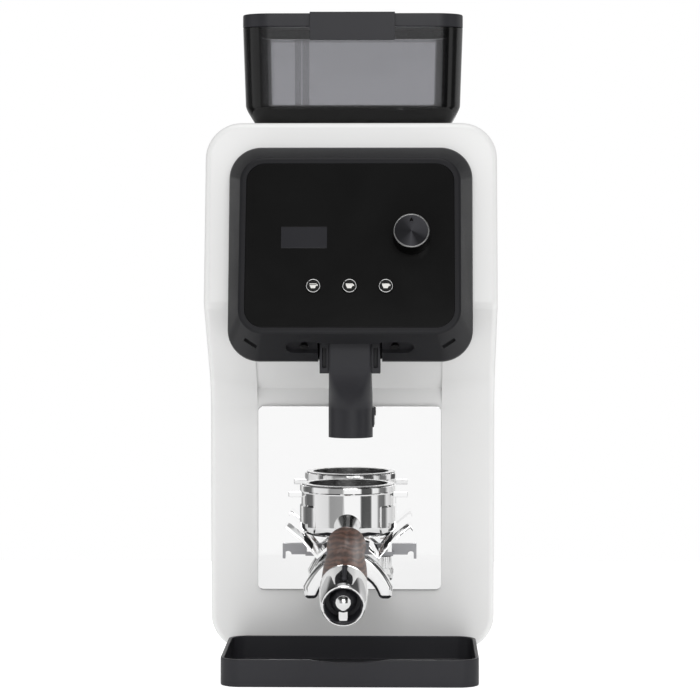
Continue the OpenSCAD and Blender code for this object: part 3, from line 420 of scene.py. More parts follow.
# %% What each kind of ray sees
ray = add(sky, "ShaderNodeLightPath").outputs
lit = add(sky, "ShaderNodeMix", {"Factor": ray["Is Glossy Ray"], "A": DIFFUSE_TENT,
                                 "B": calculated(sky, "MULTIPLY", sides, heights)}, data_type="FLOAT")
straight = calculated(sky, "MAXIMUM", ray["Is Camera Ray"], ray["Is Transmission Ray"])
seen = add(sky, "ShaderNodeMix", {"Factor": straight, "A": lit.outputs["Result"], "B": 1.0},
           data_type="FLOAT")
glow = add(sky, "ShaderNodeBackground", {"Color": (1, 1, 1, 1), "Strength": seen.outputs["Result"]})
add(sky, "ShaderNodeOutputWorld", {"Surface": glow.outputs[0]})
print("sky of", len(sky.nodes), "nodes")


# %% [markdown]
# A wide soft box in front and another overhead add a little direction, as studio lamps do. The
# floor is a plain pale sheet: it is a stage and no part of the object.

# %% Floor and lamps
def lamp(name, spot, aim, width, height, power):
    light = bpy.data.lights.new(name, "AREA")
    light.shape = "RECTANGLE"
    light.size, light.size_y, light.energy = width, height, power
    holder = bpy.data.objects.new(name, light)
    holder.location = spot
    holder.rotation_euler = (Vector(aim) - Vector(spot)).to_track_quat("-Z", "Y").to_euler()
    scene.collection.objects.link(holder)


bpy.ops.mesh.primitive_plane_add(size=1.3, location=(0, 0, 0))
floor = bpy.context.object
floor.name = "floor"
lamp("front_box", (0.3, -2.6, 1.3), (0, 0, 0.25), 1.6, 0.9, 17)
lamp("top_box", (0, -0.3, 2.2), (0, 0, 0.2), 1.5, 1.5, 9)
print("camera, tent and", len(bpy.data.lights), "lamps")

# %% [markdown]
# ## Finishes
# Each finish is procedural and reads Object coordinates, which are metres here, so a scale of 400
# is a grain of about 2.5 mm. What several finishes share is a node group: fine grain, smudges and
# brushing. A group hands out plain numbers, and the shader itself stays in the material.


# %% Groups
def group(name, inputs, outputs):
    tree = bpy.data.node_groups.new(name, "ShaderNodeTree")
    for label, kind, value in inputs:
        socket = tree.interface.new_socket(label, in_out="INPUT", socket_type="NodeSocket" + kind)
        if value is not None:
            socket.default_value = value
    for label, kind in outputs:
        tree.interface.new_socket(label, in_out="OUTPUT", socket_type="NodeSocket" + kind)
    return tree, tree.nodes.new("NodeGroupInput"), tree.nodes.new("NodeGroupOutput")


def placed(tree, name, **inputs):
    """A node group set into a material."""
    node = tree.nodes.new("ShaderNodeGroup")
    node.node_tree = bpy.data.node_groups[name]
    for key, value in inputs.items():
        if isinstance(value, bpy.types.NodeSocket):
            tree.links.new(value, node.inputs[key])
        else:
            node.inputs[key].default_value = value
    return node


# %% [markdown]
# Grain is fine noise. Smudges are coarse noise, turned into a range of roughness. Brushing is noise
# whose place is multiplied by a stretch first: a small factor makes it long in that direction.

# %% Shared effects
tree, given, made = group("Grain", [("Place", "Vector", None), ("Scale", "Float", 400.0)],
                          [("Height", "Float")])
fine = add(tree, "ShaderNodeTexNoise", {"Vector": given.outputs["Place"], "Detail": 4.0,
                                        "Scale": given.outputs["Scale"], "Roughness": 0.6})
tree.links.new(fine.outputs["Fac"], made.inputs["Height"])

tree, given, made = group("Smudges", [("Place", "Vector", None), ("Scale", "Float", 12.0),
                                      ("Low", "Float", 0.3), ("High", "Float", 0.4)],
                          [("Roughness", "Float"), ("Mask", "Float")])
cloud = add(tree, "ShaderNodeTexNoise", {"Vector": given.outputs["Place"], "Detail": 5.0,
                                         "Scale": given.outputs["Scale"], "Roughness": 0.55,
                                         "Distortion": 0.6})
level = add(tree, "ShaderNodeMapRange", {"Value": cloud.outputs["Fac"], "From Min": 0.35,
                                         "From Max": 0.65, "To Min": given.outputs["Low"],
                                         "To Max": given.outputs["High"]})
tree.links.new(level.outputs[0], made.inputs["Roughness"])
tree.links.new(cloud.outputs["Fac"], made.inputs["Mask"])

tree, given, made = group("Brushing", [("Place", "Vector", None), ("Stretch", "Vector", (1, 1, 1)),
                                       ("Low", "Float", 0.2), ("High", "Float", 0.35)],
                          [("Height", "Float"), ("Roughness", "Float")])
pulled = add(tree, "ShaderNodeVectorMath", {0: given.outputs["Place"], 1: given.outputs["Stretch"]},
             operation="MULTIPLY")
lines = add(tree, "ShaderNodeTexNoise", {"Vector": pulled.outputs[0], "Scale": 1.0, "Detail": 3.0})
level = add(tree, "ShaderNodeMapRange", {"Value": lines.outputs["Fac"], "From Min": 0.3, "From Max": 0.7,
                                         "To Min": given.outputs["Low"], "To Max": given.outputs["High"]})
tree.links.new(lines.outputs["Fac"], made.inputs["Height"])
tree.links.new(level.outputs[0], made.inputs["Roughness"])
print("groups:", ", ".join(shared.name for shared in bpy.data.node_groups))

# %% [markdown]
# Most finishes are one of two kinds. A moulded or painted surface has a fine grain and slow changes
# of gloss. A metal has brushing along one direction, which is stretched noise: long one way and
# fine across it.

# %% A finish and its parts
def finish(name, colour, **constants):
    """A material with its Principled shader and Object coordinates, ready for its effects."""
    paint = bpy.data.materials.new(name)
    paint.use_nodes = True
    tree = paint.node_tree
    shader = tree.nodes["Principled BSDF"]
    shader.inputs["Base Color"].default_value = (*colour, 1)
    for key, value in constants.items():
        shader.inputs[key.replace("_", " ")].default_value = value
    spot = add(tree, "ShaderNodeTexCoord").outputs["Object"]
    return paint, tree, shader, spot


def bumped(tree, shader, height, depth, strength=1.0):
    bump = add(tree, "ShaderNodeBump", {"Height": height, "Distance": depth, "Strength": strength})
    tree.links.new(bump.outputs[0], shader.inputs["Normal"])


def tinted(tree, shader, mask, dark, light):
    """Base colour that drifts between two tones with a mask."""
    mix = add(tree, "ShaderNodeMix", {"Factor": mask, "A": (*dark, 1), "B": (*light, 1)},
              data_type="RGBA")
    tree.links.new(mix.outputs["Result"], shader.inputs["Base Color"])


def moulded(name, dark, light, low, high, grain=900.0, depth=0.00004, smudge=14.0, **constants):
    """Moulded or painted: a fine grain, slow changes of gloss, and a slight drift of tone."""
    paint, tree, shader, spot = finish(name, dark, **constants)
    smudges = placed(tree, "Smudges", Place=spot, Scale=smudge, Low=low, High=high)
    tree.links.new(smudges.outputs["Roughness"], shader.inputs["Roughness"])
    tinted(tree, shader, smudges.outputs["Mask"], dark, light)
    bumped(tree, shader, placed(tree, "Grain", Place=spot, Scale=grain).outputs["Height"], depth)
    return paint


def metal(name, dark, light, stretch, low, high, depth=0.00001, smudge=20.0, **constants):
    """Drawn, turned or polished metal: brushing along one direction and a slight drift of tone."""
    paint, tree, shader, spot = finish(name, dark, Metallic=1.0, **constants)
    brushed = placed(tree, "Brushing", Place=spot, Stretch=stretch, Low=low, High=high)
    tree.links.new(brushed.outputs["Roughness"], shader.inputs["Roughness"])
    smudges = placed(tree, "Smudges", Place=spot, Scale=smudge)
    tinted(tree, shader, smudges.outputs["Mask"], dark, light)
    bumped(tree, shader, brushed.outputs["Height"], depth)
    return paint


# %% [markdown]
# White paint and black plastic both look flat if they are pure, so each drifts between two close
# tones. The head and the panel are a deeper black than the tray and the lid, and reflect less.

# %% Paints and plastics
def grey(value, blue=0.0):
    return (value, value, value * (1 + blue))


white_paint = moulded("white_paint", (0.77, 0.77, 0.765), (0.80, 0.80, 0.795), 0.36, 0.44, grain=700.0,
                      depth=0.00003, Coat_Weight=0.25, Coat_Roughness=0.15)
dark_plastic = moulded("dark_plastic", grey(0.019, 0.18), grey(0.024, 0.18), 0.34, 0.42, grain=1600.0,
                       Specular_IOR_Level=0.3)
head_plastic = moulded("head_plastic", grey(0.013, 0.12), grey(0.017, 0.12), 0.36, 0.44, grain=1600.0,
                       Specular_IOR_Level=0.16)
panel_gloss = moulded("panel_gloss", grey(0.0055), grey(0.0075), 0.16, 0.22, grain=300.0, depth=0.000004,
                      Specular_IOR_Level=0.14)
white_plastic = moulded("white_plastic", (0.72, 0.71, 0.68), (0.76, 0.75, 0.72), 0.4, 0.5)
rubber = moulded("rubber", grey(0.012), grey(0.02), 0.75, 0.9, grain=2200.0, depth=0.00008)
circuit_board = moulded("circuit_board", (0.01, 0.09, 0.04), (0.015, 0.13, 0.05), 0.3, 0.45)
motor_paint = moulded("motor_paint", grey(0.03), grey(0.045), 0.45, 0.6, grain=1200.0, depth=0.0001)
floor_paint = moulded("floor_paint", grey(0.86), grey(0.88), 0.6, 0.7, Emission_Color=(1, 1, 1, 1))

# %% [markdown]
# A studio sweep is lit until it is nearly white. The floor glows for the camera, and for the light
# that it throws up onto matt faces, but not in reflections, where it would wash out the metal.

# %% The floor's glow
FLOOR_SEEN, FLOOR_BOUNCE = 0.6, 0.6
floor_nodes = floor_paint.node_tree
floor_ray = add(floor_nodes, "ShaderNodeLightPath").outputs
bounce = calculated(floor_nodes, "MULTIPLY", floor_ray["Is Diffuse Ray"], FLOOR_BOUNCE)
shine = calculated(floor_nodes, "MULTIPLY_ADD", floor_ray["Is Camera Ray"], FLOOR_SEEN, bounce)
floor_nodes.links.new(shine, floor_nodes.nodes["Principled BSDF"].inputs["Emission Strength"])
floor.data.materials.append(floor_paint)
print("floor glows", FLOOR_SEEN, "for the camera and", FLOOR_BOUNCE, "for matt faces")

# %% [markdown]
# The metals differ in tone, in gloss and in how the brushing runs: round a turned piece, along a
# drawn one, or nowhere in particular on a cast one. Chrome and the polished plate are nearly smooth.

# %% Metals
ROUND = (400.0, 400.0, 5000.0)
ALONG_X = (150.0, 4000.0, 4000.0)
chrome = metal("chrome", grey(0.90), grey(0.95), ROUND, 0.03, 0.07, depth=0.000001)
mirror_steel = metal("mirror_steel", grey(0.93), grey(0.96), ALONG_X, 0.02, 0.05, depth=0.0000005)
basket_steel = metal("basket_steel", grey(0.36), grey(0.42), ROUND, 0.16, 0.28)
satin_steel = metal("satin_steel", grey(0.36, 0.04), grey(0.42, 0.04), ALONG_X, 0.30, 0.42)
zinc_steel = metal("zinc_steel", (0.62, 0.63, 0.62), (0.72, 0.72, 0.68), ROUND, 0.28, 0.42)
burr_steel = metal("burr_steel", grey(0.48), grey(0.56), ROUND, 0.25, 0.38)
cast_aluminium = metal("cast_aluminium", grey(0.58), grey(0.66), (900.0, 900.0, 900.0), 0.4, 0.55,
                       depth=0.00006)
laminations = metal("laminations", grey(0.22), grey(0.32), (5.0, 5.0, 12000.0), 0.4, 0.55)
copper_wire = metal("copper_wire", (0.75, 0.30, 0.14), (0.85, 0.38, 0.2), (200.0, 200.0, 9000.0),
                    0.25, 0.4)
dark_anodised = metal("dark_anodised", grey(0.025), grey(0.035), (1500.0, 1500.0, 1500.0), 0.26, 0.36)
dark_zinc = metal("dark_zinc", grey(0.03), grey(0.05), ROUND, 0.28, 0.42)

# %% [markdown]
# Walnut: the grip is turned from a block, so its growth rings are sheets that the lathe cuts
# across. Bands along one direction, bent by noise, give those sheets, and short dark pores run
# along the grain.

# %% Walnut
walnut, tree, shader, spot = finish("walnut", (0.1, 0.05, 0.03), Specular_IOR_Level=0.35)
long_way = add(tree, "ShaderNodeMapping", {"Vector": spot, "Scale": (1.0, 0.35, 1.0),
                                           "Rotation": (math.radians(15), 0, 0)})
sway = add(tree, "ShaderNodeTexNoise", {"Vector": long_way.outputs[0], "Scale": 28.0, "Detail": 3.0})
rings = add(tree, "ShaderNodeTexWave", {"Vector": long_way.outputs[0], "Scale": 95.0, "Distortion": 9.0,
                                        "Detail": 3.0, "Detail Scale": 1.2}, bands_direction="Z")
drawn_out = add(tree, "ShaderNodeVectorMath", {0: long_way.outputs[0], 1: (2600.0, 260.0, 2600.0)},
                operation="MULTIPLY")
pores = add(tree, "ShaderNodeTexNoise", {"Vector": drawn_out.outputs[0], "Scale": 1.0})
tone = add(tree, "ShaderNodeMix", {"Factor": rings.outputs["Fac"], "A": (0.045, 0.018, 0.011, 1),
                                   "B": (0.165, 0.080, 0.052, 1)}, data_type="RGBA")
shade = add(tree, "ShaderNodeMix", {"Factor": sway.outputs["Fac"], "A": (0.55, 0.52, 0.5, 1),
                                    "B": (1.3, 1.25, 1.2, 1)}, data_type="RGBA")
mixed = add(tree, "ShaderNodeMix", {"Factor": 1.0, "A": tone.outputs["Result"],
                                    "B": shade.outputs["Result"]},
            data_type="RGBA", blend_type="MULTIPLY")
dark_pores = add(tree, "ShaderNodeMapRange", {"Value": pores.outputs["Fac"], "From Min": 0.3,
                                              "From Max": 0.45, "To Min": 0.55, "To Max": 1.0})
wood = add(tree, "ShaderNodeMix", {"Factor": 1.0, "A": mixed.outputs["Result"],
                                   "B": dark_pores.outputs[0]}, data_type="RGBA", blend_type="MULTIPLY")
tree.links.new(wood.outputs["Result"], shader.inputs["Base Color"])
shader.inputs["Roughness"].default_value = 0.38
bumped(tree, shader, dark_pores.outputs[0], 0.00008)
print("walnut of", len(tree.nodes), "nodes")

# %% [markdown]
# Smoked plastic: seen straight on, a wall takes a little of the light. Seen along the wall, at a
# rounded corner or the lower edge, the light has to cross much more of it, so it turns nearly black.

# %% Smoked plastic
def smoked(name, clear_tone, corner_tone, start=0.015, end=0.10):
    paint, tree, shader, spot = finish(name, grey(clear_tone, 0.04), Transmission_Weight=1.0, IOR=1.45)
    smudges = placed(tree, "Smudges", Place=spot, Scale=9.0, Low=0.02, High=0.05)
    tree.links.new(smudges.outputs["Roughness"], shader.inputs["Roughness"])
    slant = add(tree, "ShaderNodeLayerWeight", {"Blend": 0.5}).outputs["Facing"]
    depth = add(tree, "ShaderNodeMapRange", {"Value": slant, "From Min": start, "From Max": end})
    tinted(tree, shader, depth.outputs[0], grey(clear_tone, 0.04), grey(corner_tone, 0.05))
    return paint


smoked_plastic = smoked("smoked_plastic", 0.49, 0.015, end=0.08)
thin_smoke = moulded("thin_smoke", grey(0.02), grey(0.03), 0.3, 0.4, Alpha=0.2)
print(len(bpy.data.materials), "finishes,", len(bpy.data.node_groups), "shared effects")

# %% [markdown]
# ## The casing
# The real casing is a painted sheet or moulding about 2.4 mm thick: a column, an overhang whose
# face leans back from a soft ridge, and a hollow curve where the overhang leaves the column. A
# block bent at two heights gives that side view. The ridge, the hollow and the four long corners
# are bevels of their own radius, and one small bevel then runs round the whole front.

# %% Driving sizes of the casing
CASE_LOW, CASE_HIGH = span("body_shell")
HALF = CASE_HIGH.x
TOP = CASE_HIGH.z
FOOT = CASE_LOW.z
BACK = CASE_HIGH.y
REACH = -CASE_LOW.y
RIDGE_DROP = 130.4
FACE_LEAN = math.radians(12.66)
UNDER_LEAN = math.radians(48.9)
RIDGE = TOP - RIDGE_DROP
CORNER = RIDGE - REACH / math.tan(UNDER_LEAN)
FACE_TOP = -REACH + RIDGE_DROP * math.tan(FACE_LEAN)
WALL = 2.4
CASE_R = 25.6
HOLLOW_R = 33.0
RIDGE_R = 7.0
FRONT_SOFT = 4.5


def tangent(radius, turn):
    """How far from a corner a fillet starts."""
    return radius * math.tan(turn / 2)


# %% [markdown]
# The wall has the same thickness all over, so the space inside is the same shape drawn again with
# each side moved in by the wall. One function draws both. It bends the block first, then rounds
# the ridge and the hollow, and last the four long corners that run from front to back.

# %% The casing's outer shape
def inset_corner(before, corner, after, wall):
    """Where the corner of an outline lands when both its sides move inwards by a wall."""
    into, away = (corner - before).normalized(), (after - corner).normalized()
    first, second = Vector((into.y, -into.x)), Vector((away.y, -away.x))
    return corner + (first + second) * wall / (1 + first.dot(second))


def casing_block(wall=0.0):
    """The casing as a solid, or the space inside it when a wall is taken off all round."""
    outline = [Vector(p) for p in [(0, FOOT), (0, CORNER), (-REACH, RIDGE), (FACE_TOP, TOP), (BACK, TOP)]]
    hollow, ridge, brow = [inset_corner(*outline[i:i + 3], wall) for i in range(3)]
    half, base = HALF - wall, FOOT + wall
    piece = block((-half, wall, base), (half, BACK, TOP - wall))
    for height in (hollow.y, ridge.y):
        choose_all(piece)
        bpy.ops.mesh.bisect(plane_co=(0, 0, height), plane_no=(0, 0, 1))
    choose(piece, "VERT", at(None, wall, ridge.y))
    bpy.ops.transform.translate(value=(0, ridge.x - wall, 0))
    choose(piece, "VERT", at(None, wall, TOP - wall))
    bpy.ops.transform.translate(value=(0, brow.x - wall, 0))
    choose(piece, "EDGE", at(None, ridge.x, ridge.y))
    bpy.ops.mesh.bevel(offset=tangent(RIDGE_R - wall, UNDER_LEAN + FACE_LEAN), segments=8)
    choose(piece, "EDGE", at(None, wall, hollow.y))
    bpy.ops.mesh.bevel(offset=tangent(HOLLOW_R + wall, UNDER_LEAN), segments=14)
    choose_all(piece)
    bpy.ops.mesh.dissolve_limited(angle_limit=math.radians(0.5))

    def long_corner(a, b):
        ends = abs(a.z - b.z) < 0.1 and (abs(a.z - TOP + wall) < 0.1 or abs(a.z - base) < 0.1)
        return ends and abs(a.x - b.x) < 0.1 and abs(a.x) > half - 0.1 and abs(a.y - b.y) > 90
    choose(piece, "EDGE", long_corner)
    bpy.ops.mesh.bevel(offset=CASE_R - wall, segments=14)
    clear()
    return piece


def is_front_edge(edge):
    """True between a face of the front and a face of the sides, top or bottom."""
    if len(edge.link_faces) != 2:
        return False
    ways = sorted(abs(face.normal.y) for face in edge.link_faces)
    low = min(v.co.y for v in edge.verts)
    return ways[0] < 0.05 and ways[1] > 0.15 and low < 60


def choose_front(piece):
    choose(piece, "EDGE", lambda *_: False)
    net = bmesh.from_edit_mesh(piece.data)
    net.normal_update()
    for edge in net.edges:
        edge.select = is_front_edge(edge)
    bmesh.update_edit_mesh(piece.data)


casing = casing_block()
choose_front(casing)
bpy.ops.mesh.bevel(offset=FRONT_SOFT, segments=5)
clear()
print("casing", len(casing.data.polygons), "faces, ridge at", round(RIDGE, 1))
print("its hollow corner is at", round(CORNER, 1))

# %% [markdown]
# Above the polished plate the hollow curve is pressed flat, over just the plate's width. The
# pocket is cut while the casing is still solid. The space inside is the same block drawn one wall
# smaller, with a thicker backing left behind the pocket, and it reaches out through the back. The
# holes for the burrs, the chute and the base come last.

# %% Pocket and wall
PLATE_LOW, PLATE_HIGH = span("mirror_plate")
POCKET_D, POCKET_GAP, POCKET_REACH = 1.0, 0.2, 48.0
SLOPE = Vector((0, -math.sin(UNDER_LEAN), math.cos(UNDER_LEAN)))
OUT = Vector((0, -math.cos(UNDER_LEAN), -math.sin(UNDER_LEAN)))
crease = Vector((PLATE_LOW.x - POCKET_GAP, 0, CORNER + POCKET_D / math.sin(UNDER_LEAN)))
far = crease + SLOPE * POCKET_REACH
low = Vector((crease.x, 0, CORNER - HOLLOW_R))
pocket = prism([low - Vector((0, POCKET_REACH, 0)), low, crease, far, far + OUT * 6],
               (PLATE_HIGH.x - PLATE_LOW.x + 2 * POCKET_GAP, 0, 0))
solid_casing = casing.copy()
solid_casing.data = casing.data.copy()
bpy.context.collection.objects.link(solid_casing)
cut(casing, pocket)
hollow_space = casing_block(WALL)
choose(hollow_space, "VERT", lambda place: place.y > BACK - 0.1)
bpy.ops.transform.translate(value=(0, 5, 0))
backing = block((PLATE_LOW.x - 3, -40, CORNER - 18), (PLATE_HIGH.x + 3, 6, CORNER + 16))
cut(casing, cut(hollow_space, backing))

# %% [markdown]
# The openings: a round one for the burrs in the top, the base's in the bottom, and two behind the
# head, a low one for the grounds' duct and a wide one for the control board.

# %% Openings
BURR_LOW, BURR_HIGH = span("adjusting_ring")
BURR_Y = (BURR_LOW.y + BURR_HIGH.y) / 2
RING_R = BURR_HIGH.x
RING_GAP, BASE_RIM = 2, 8
BASE_HALF = HALF - CASE_R - 4
DUCT_HALF, BOARD_HALF = 24, 62
burr_opening = rod(RING_R + RING_GAP, TOP - 10, TOP + 5, y=BURR_Y)
base_opening = block((-BASE_HALF, BASE_RIM, FOOT - 5), (BASE_HALF, BACK - BASE_RIM, FOOT + WALL + 1))
duct_opening = block((-DUCT_HALF, -REACH - 27, RIDGE - 30), (DUCT_HALF, -REACH + 29, RIDGE + 17))
board_opening = block((-BOARD_HALF, -REACH - 10, RIDGE + 16), (BOARD_HALF, -REACH + 70, TOP - 34))
cut(casing, burr_opening, base_opening, duct_opening, board_opening)
soften(casing, 0.35, steps=2, angle=75)
done(casing, "casing", "grinder", white_paint, "body_shell", angle=30)

# %% [markdown]
# ## The control head
# The head is one black moulding: a straight skirt that hugs the casing, and sides that run
# forward to a smaller, tilted frame. Two outlines with the same number of points, bridged, give
# the sides. The skirt is drawn straight back, and the casing itself cuts its rear edge.

# %% The head's two outlines
PANEL_W, PANEL_L, PANEL_R = 154.0, 129.4, 17.5
PANEL_LEAN = 20.0
PANEL_LOW_Y, PANEL_LOW_Z = -119.0, span("head_housing")[0].z + 21.3
HEAD_LOW, HEAD_HIGH = span("head_housing")
HEAD_R = 22.7
SKIRT = 8.0
lean = math.radians(PANEL_LEAN)
PANEL_SIDE = Vector((1, 0, 0))
PANEL_UP = Vector((0, math.sin(lean), math.cos(lean)))
PANEL_OUT = Vector((0, -math.cos(lean), math.sin(lean)))
PANEL_MID = Vector((0, PANEL_LOW_Y, PANEL_LOW_Z)) + PANEL_UP * PANEL_L / 2


def skirt_y(z):
    return -REACH + (z - RIDGE) * math.tan(FACE_LEAN) - SKIRT / math.cos(FACE_LEAN)


def skirt_rim(a, b):
    return all(abs(c.y - skirt_y(c.z)) < 0.3 for c in (a, b))


def panel_rim(a, b):
    return all(abs((c - PANEL_MID).dot(PANEL_OUT)) < 0.1 for c in (a, b))


def on_panel(piece, x=0.0, y=0.0, z=0.0):
    """Sets a flat piece on the tilted panel: x to the right, y up along it, z out of it."""
    place(piece, (x, y, z))
    return place(piece, PANEL_MID, tilt=90 - PANEL_LEAN)


def head_shell():
    front = on_panel(sheet_with_corners(PANEL_W, PANEL_L, PANEL_R, steps=14))
    middle_z = (HEAD_LOW.z + HEAD_HIGH.z) / 2
    rear = sheet_with_corners(HEAD_HIGH.x - HEAD_LOW.x, (HEAD_HIGH.z - HEAD_LOW.z) / math.cos(FACE_LEAN),
                              HEAD_R, steps=14)
    place(rear, (0, skirt_y(middle_z), middle_z), tilt=90 - math.degrees(FACE_LEAN))
    head = together(front, rear)
    choose_all(head, "FACE")
    bpy.ops.mesh.delete(type="ONLY_FACE")
    choose_all(head, "EDGE")
    bpy.ops.mesh.bridge_edge_loops()
    choose(head, "EDGE", skirt_rim)
    bpy.ops.mesh.extrude_region_move(TRANSFORM_OT_translate={"value": (0, 2, 0)})
    bpy.ops.mesh.extrude_region_move(TRANSFORM_OT_translate={"value": (0, 110, 0)})
    bpy.ops.mesh.edge_face_add()
    choose(head, "EDGE", panel_rim)
    bpy.ops.mesh.edge_face_add()
    choose_all(head)
    bpy.ops.mesh.normals_make_consistent(inside=False)
    clear()
    return head


head = head_shell()
print("head shell", len(head.data.polygons), "faces")

# %% [markdown]
# Both rims are rounded, the skirt's a little more. A shallow recess takes the panel, and a deeper
# hole inside it makes room for the board.

# %% Rims, recess and frame
BEZEL = 4.0
choose(head, "EDGE", skirt_rim)
bpy.ops.mesh.bevel(offset=2.5, segments=4)
choose(head, "EDGE", panel_rim)
bpy.ops.mesh.bevel(offset=1.6, segments=4)
recess = sheet_with_corners(PANEL_W - 2 * BEZEL, PANEL_L - 2 * BEZEL, PANEL_R - BEZEL, steps=14)
on_panel(raised(recess, 10), z=-3)
inner = sheet_with_corners(PANEL_W - 4 * BEZEL, PANEL_L - 4 * BEZEL, PANEL_R - 2 * BEZEL, steps=8)
on_panel(raised(inner, 30), z=-24)
print("recess for a panel", PANEL_W - 2 * BEZEL, "by", PANEL_L - 2 * BEZEL)

# %% [markdown]
# Under the head two screws sit in oval recesses, either side of the chute, and a short slanted slot
# marks each lower corner. The cutters are laid on the slope that runs from the panel's lower edge
# back to the skirt.

# %% The head's underside
UNDER_FRONT = Vector((0, PANEL_LOW_Y, PANEL_LOW_Z))
UNDER_BACK = Vector((0, skirt_y(HEAD_LOW.z), HEAD_LOW.z))
under_tilt = math.degrees(math.atan2(UNDER_FRONT.z - UNDER_BACK.z, UNDER_BACK.y - UNDER_FRONT.y))


def on_underside(piece, x, z=0.0):
    """Sets a flat piece on the slope under the head, with its z pointing out of the slope."""
    place(piece, (0, 0, z))
    return place(piece, (UNDER_FRONT + UNDER_BACK) / 2 + Vector((x, 0, 0)), tilt=180 - under_tilt)


OVAL_W, OVAL_L, OVAL_R, OVAL_DEPTH = 26, 14, 6.8, 2.6
SLOT_X, SLOT_LEAN = 69, 34


def oval_cutter(x):
    """A recess for a screw."""
    return on_underside(raised(sheet_with_corners(OVAL_W, OVAL_L, OVAL_R, steps=8), 9), x, -OVAL_DEPTH)


def corner_slot(side):
    """A short slanted slot at a lower corner of the head."""
    slot = block((-5, -14, -1.2), (5, 5, 1.2))
    take(slot)
    slot.rotation_euler.y = math.radians(-side * SLOT_LEAN)
    slot.location = (side * SLOT_X, PANEL_LOW_Y + 14, PANEL_LOW_Z - 7.6)
    bpy.ops.object.transform_apply(location=True, rotation=True, scale=True)
    return slot


UNDER_SCREW_X = 31.6
CHUTE_Y = -65.0
CHUTE_GAP = 22.5
chute_room = block((-CHUTE_GAP, CHUTE_Y - 43, HEAD_LOW.z - 2), (CHUTE_GAP, CHUTE_Y + 21, HEAD_LOW.z + 26))
cut(head, solid_casing, recess, inner, oval_cutter(-UNDER_SCREW_X), oval_cutter(UNDER_SCREW_X),
    chute_room, corner_slot(-1), corner_slot(1))
soften(head, 0.5, steps=2, angle=45)
head = done(head, "control_head", "grinder", dark_plastic, "head_housing", angle=32)
head.data.materials[0] = head_plastic

# %% [markdown]
# ## Panel, display and controls
# The panel is a flat black plate let into the head's frame, and the display is a dark glossy
# window in it. Both could be drawn anew, but their edges only need a fine round, so each is a copy
# of the engineering part with its edges softened.

# %% Panel and display
panel_glass = moulded("display_glass", grey(0.020, 0.15), grey(0.024, 0.15), 0.10, 0.16, grain=200.0,
                      depth=0.000002)


def softened(node, name, body, paint, width=0.3, steps=2, angle=40):
    """A copy of an engineering part with its edges rounded."""
    piece = soften(from_node(node), width, steps=steps, angle=35)
    return done(piece, name, body, paint, node, angle=angle)


softened("front_panel", "panel", "grinder", panel_gloss, 0.25)
window = softened("display", "display_window", "grinder", panel_gloss, 0.15)
window.data.materials[0] = panel_glass

# %% [markdown]
# The dial is turned from anodised aluminium. The fine circles on its face throw the light into fans
# from the middle. Real grooves would be far too fine for a mesh, so a ramp round the dial's own axis
# paints those fans of light into the face's colour as painted highlights, and the rim and the dark
# side are told apart by distance and height.

# %% The dial's finish, with painted fans of light
KNOB_R, KNOB_H = 13.2, 14.5
FACE_R, FACE_H = KNOB_R - 1.6, KNOB_H - 0.4
# Where round the dial the painted highlights of the fans fall, and how bright each one is.
PAINTED_FANS_OF_LIGHT = [(-180, 0.30), (-140, 0.34), (-112, 0.65), (-92, 1.05), (-78, 0.8), (-60, 0.32), (-35, 0.30),
        (-12, 0.7), (20, 0.85), (65, 0.95), (100, 0.8), (135, 0.40), (180, 0.30)]


def turned_face_with_painted_fans(name, centre):
    """Dark anodised metal with painted fans of light on its face, a bright rim and a black mark."""
    paint, tree, shader, spot = finish(name, grey(0.05), Metallic=1.0, Roughness=0.3)
    flat = add(tree, "ShaderNodeMapping", {
        "Vector": spot, "Location": (centre.x * MM, FRONT + centre.y * MM, centre.z * MM),
        "Rotation": (math.radians(90 - PANEL_LEAN), 0, 0)}, vector_type="TEXTURE").outputs[0]
    flat_split = add(tree, "ShaderNodeSeparateXYZ", {"Vector": flat})
    angle = calculated(tree, "ARCTAN2", flat_split.outputs["Y"], flat_split.outputs["X"])
    share = add(tree, "ShaderNodeMapRange", {"Value": angle, "From Min": -math.pi, "From Max": math.pi})
    # The fans of light are painted into the base colour here: painted highlights, not real grooves.
    fans = add(tree, "ShaderNodeValToRGB", {"Fac": share.outputs[0]})
    set_stops(fans, [((spot_at + 180) / 360, grey(tone * 0.085, 0.1)) for spot_at, tone in PAINTED_FANS_OF_LIGHT])
    level = add(tree, "ShaderNodeVectorMath", {0: flat, 1: (1.0, 1.0, 0.0)}, operation="MULTIPLY")
    radius = add(tree, "ShaderNodeVectorMath", {0: level.outputs[0]}, operation="LENGTH").outputs["Value"]
    rim = add(tree, "ShaderNodeMapRange", {"Value": radius, "From Min": (FACE_R - 0.3) * MM,
                                           "From Max": FACE_R * MM})
    high = add(tree, "ShaderNodeMapRange", {"Value": flat_split.outputs["Z"],
                                            "From Min": (FACE_H - 0.5) * MM,
                                            "From Max": (FACE_H - 0.3) * MM})
    top = add(tree, "ShaderNodeMix", {"Factor": rim.outputs[0], "A": fans.outputs["Color"],
                                      "B": (*grey(0.28), 1)}, data_type="RGBA")
    whole = add(tree, "ShaderNodeMix", {"Factor": high.outputs[0], "A": (*grey(0.012), 1),
                                        "B": top.outputs["Result"]}, data_type="RGBA")
    tree.links.new(whole.outputs["Result"], shader.inputs["Base Color"])
    return paint


# %% [markdown]
# The dial itself is one profile, spun once, with a small triangular mark cut into its face.

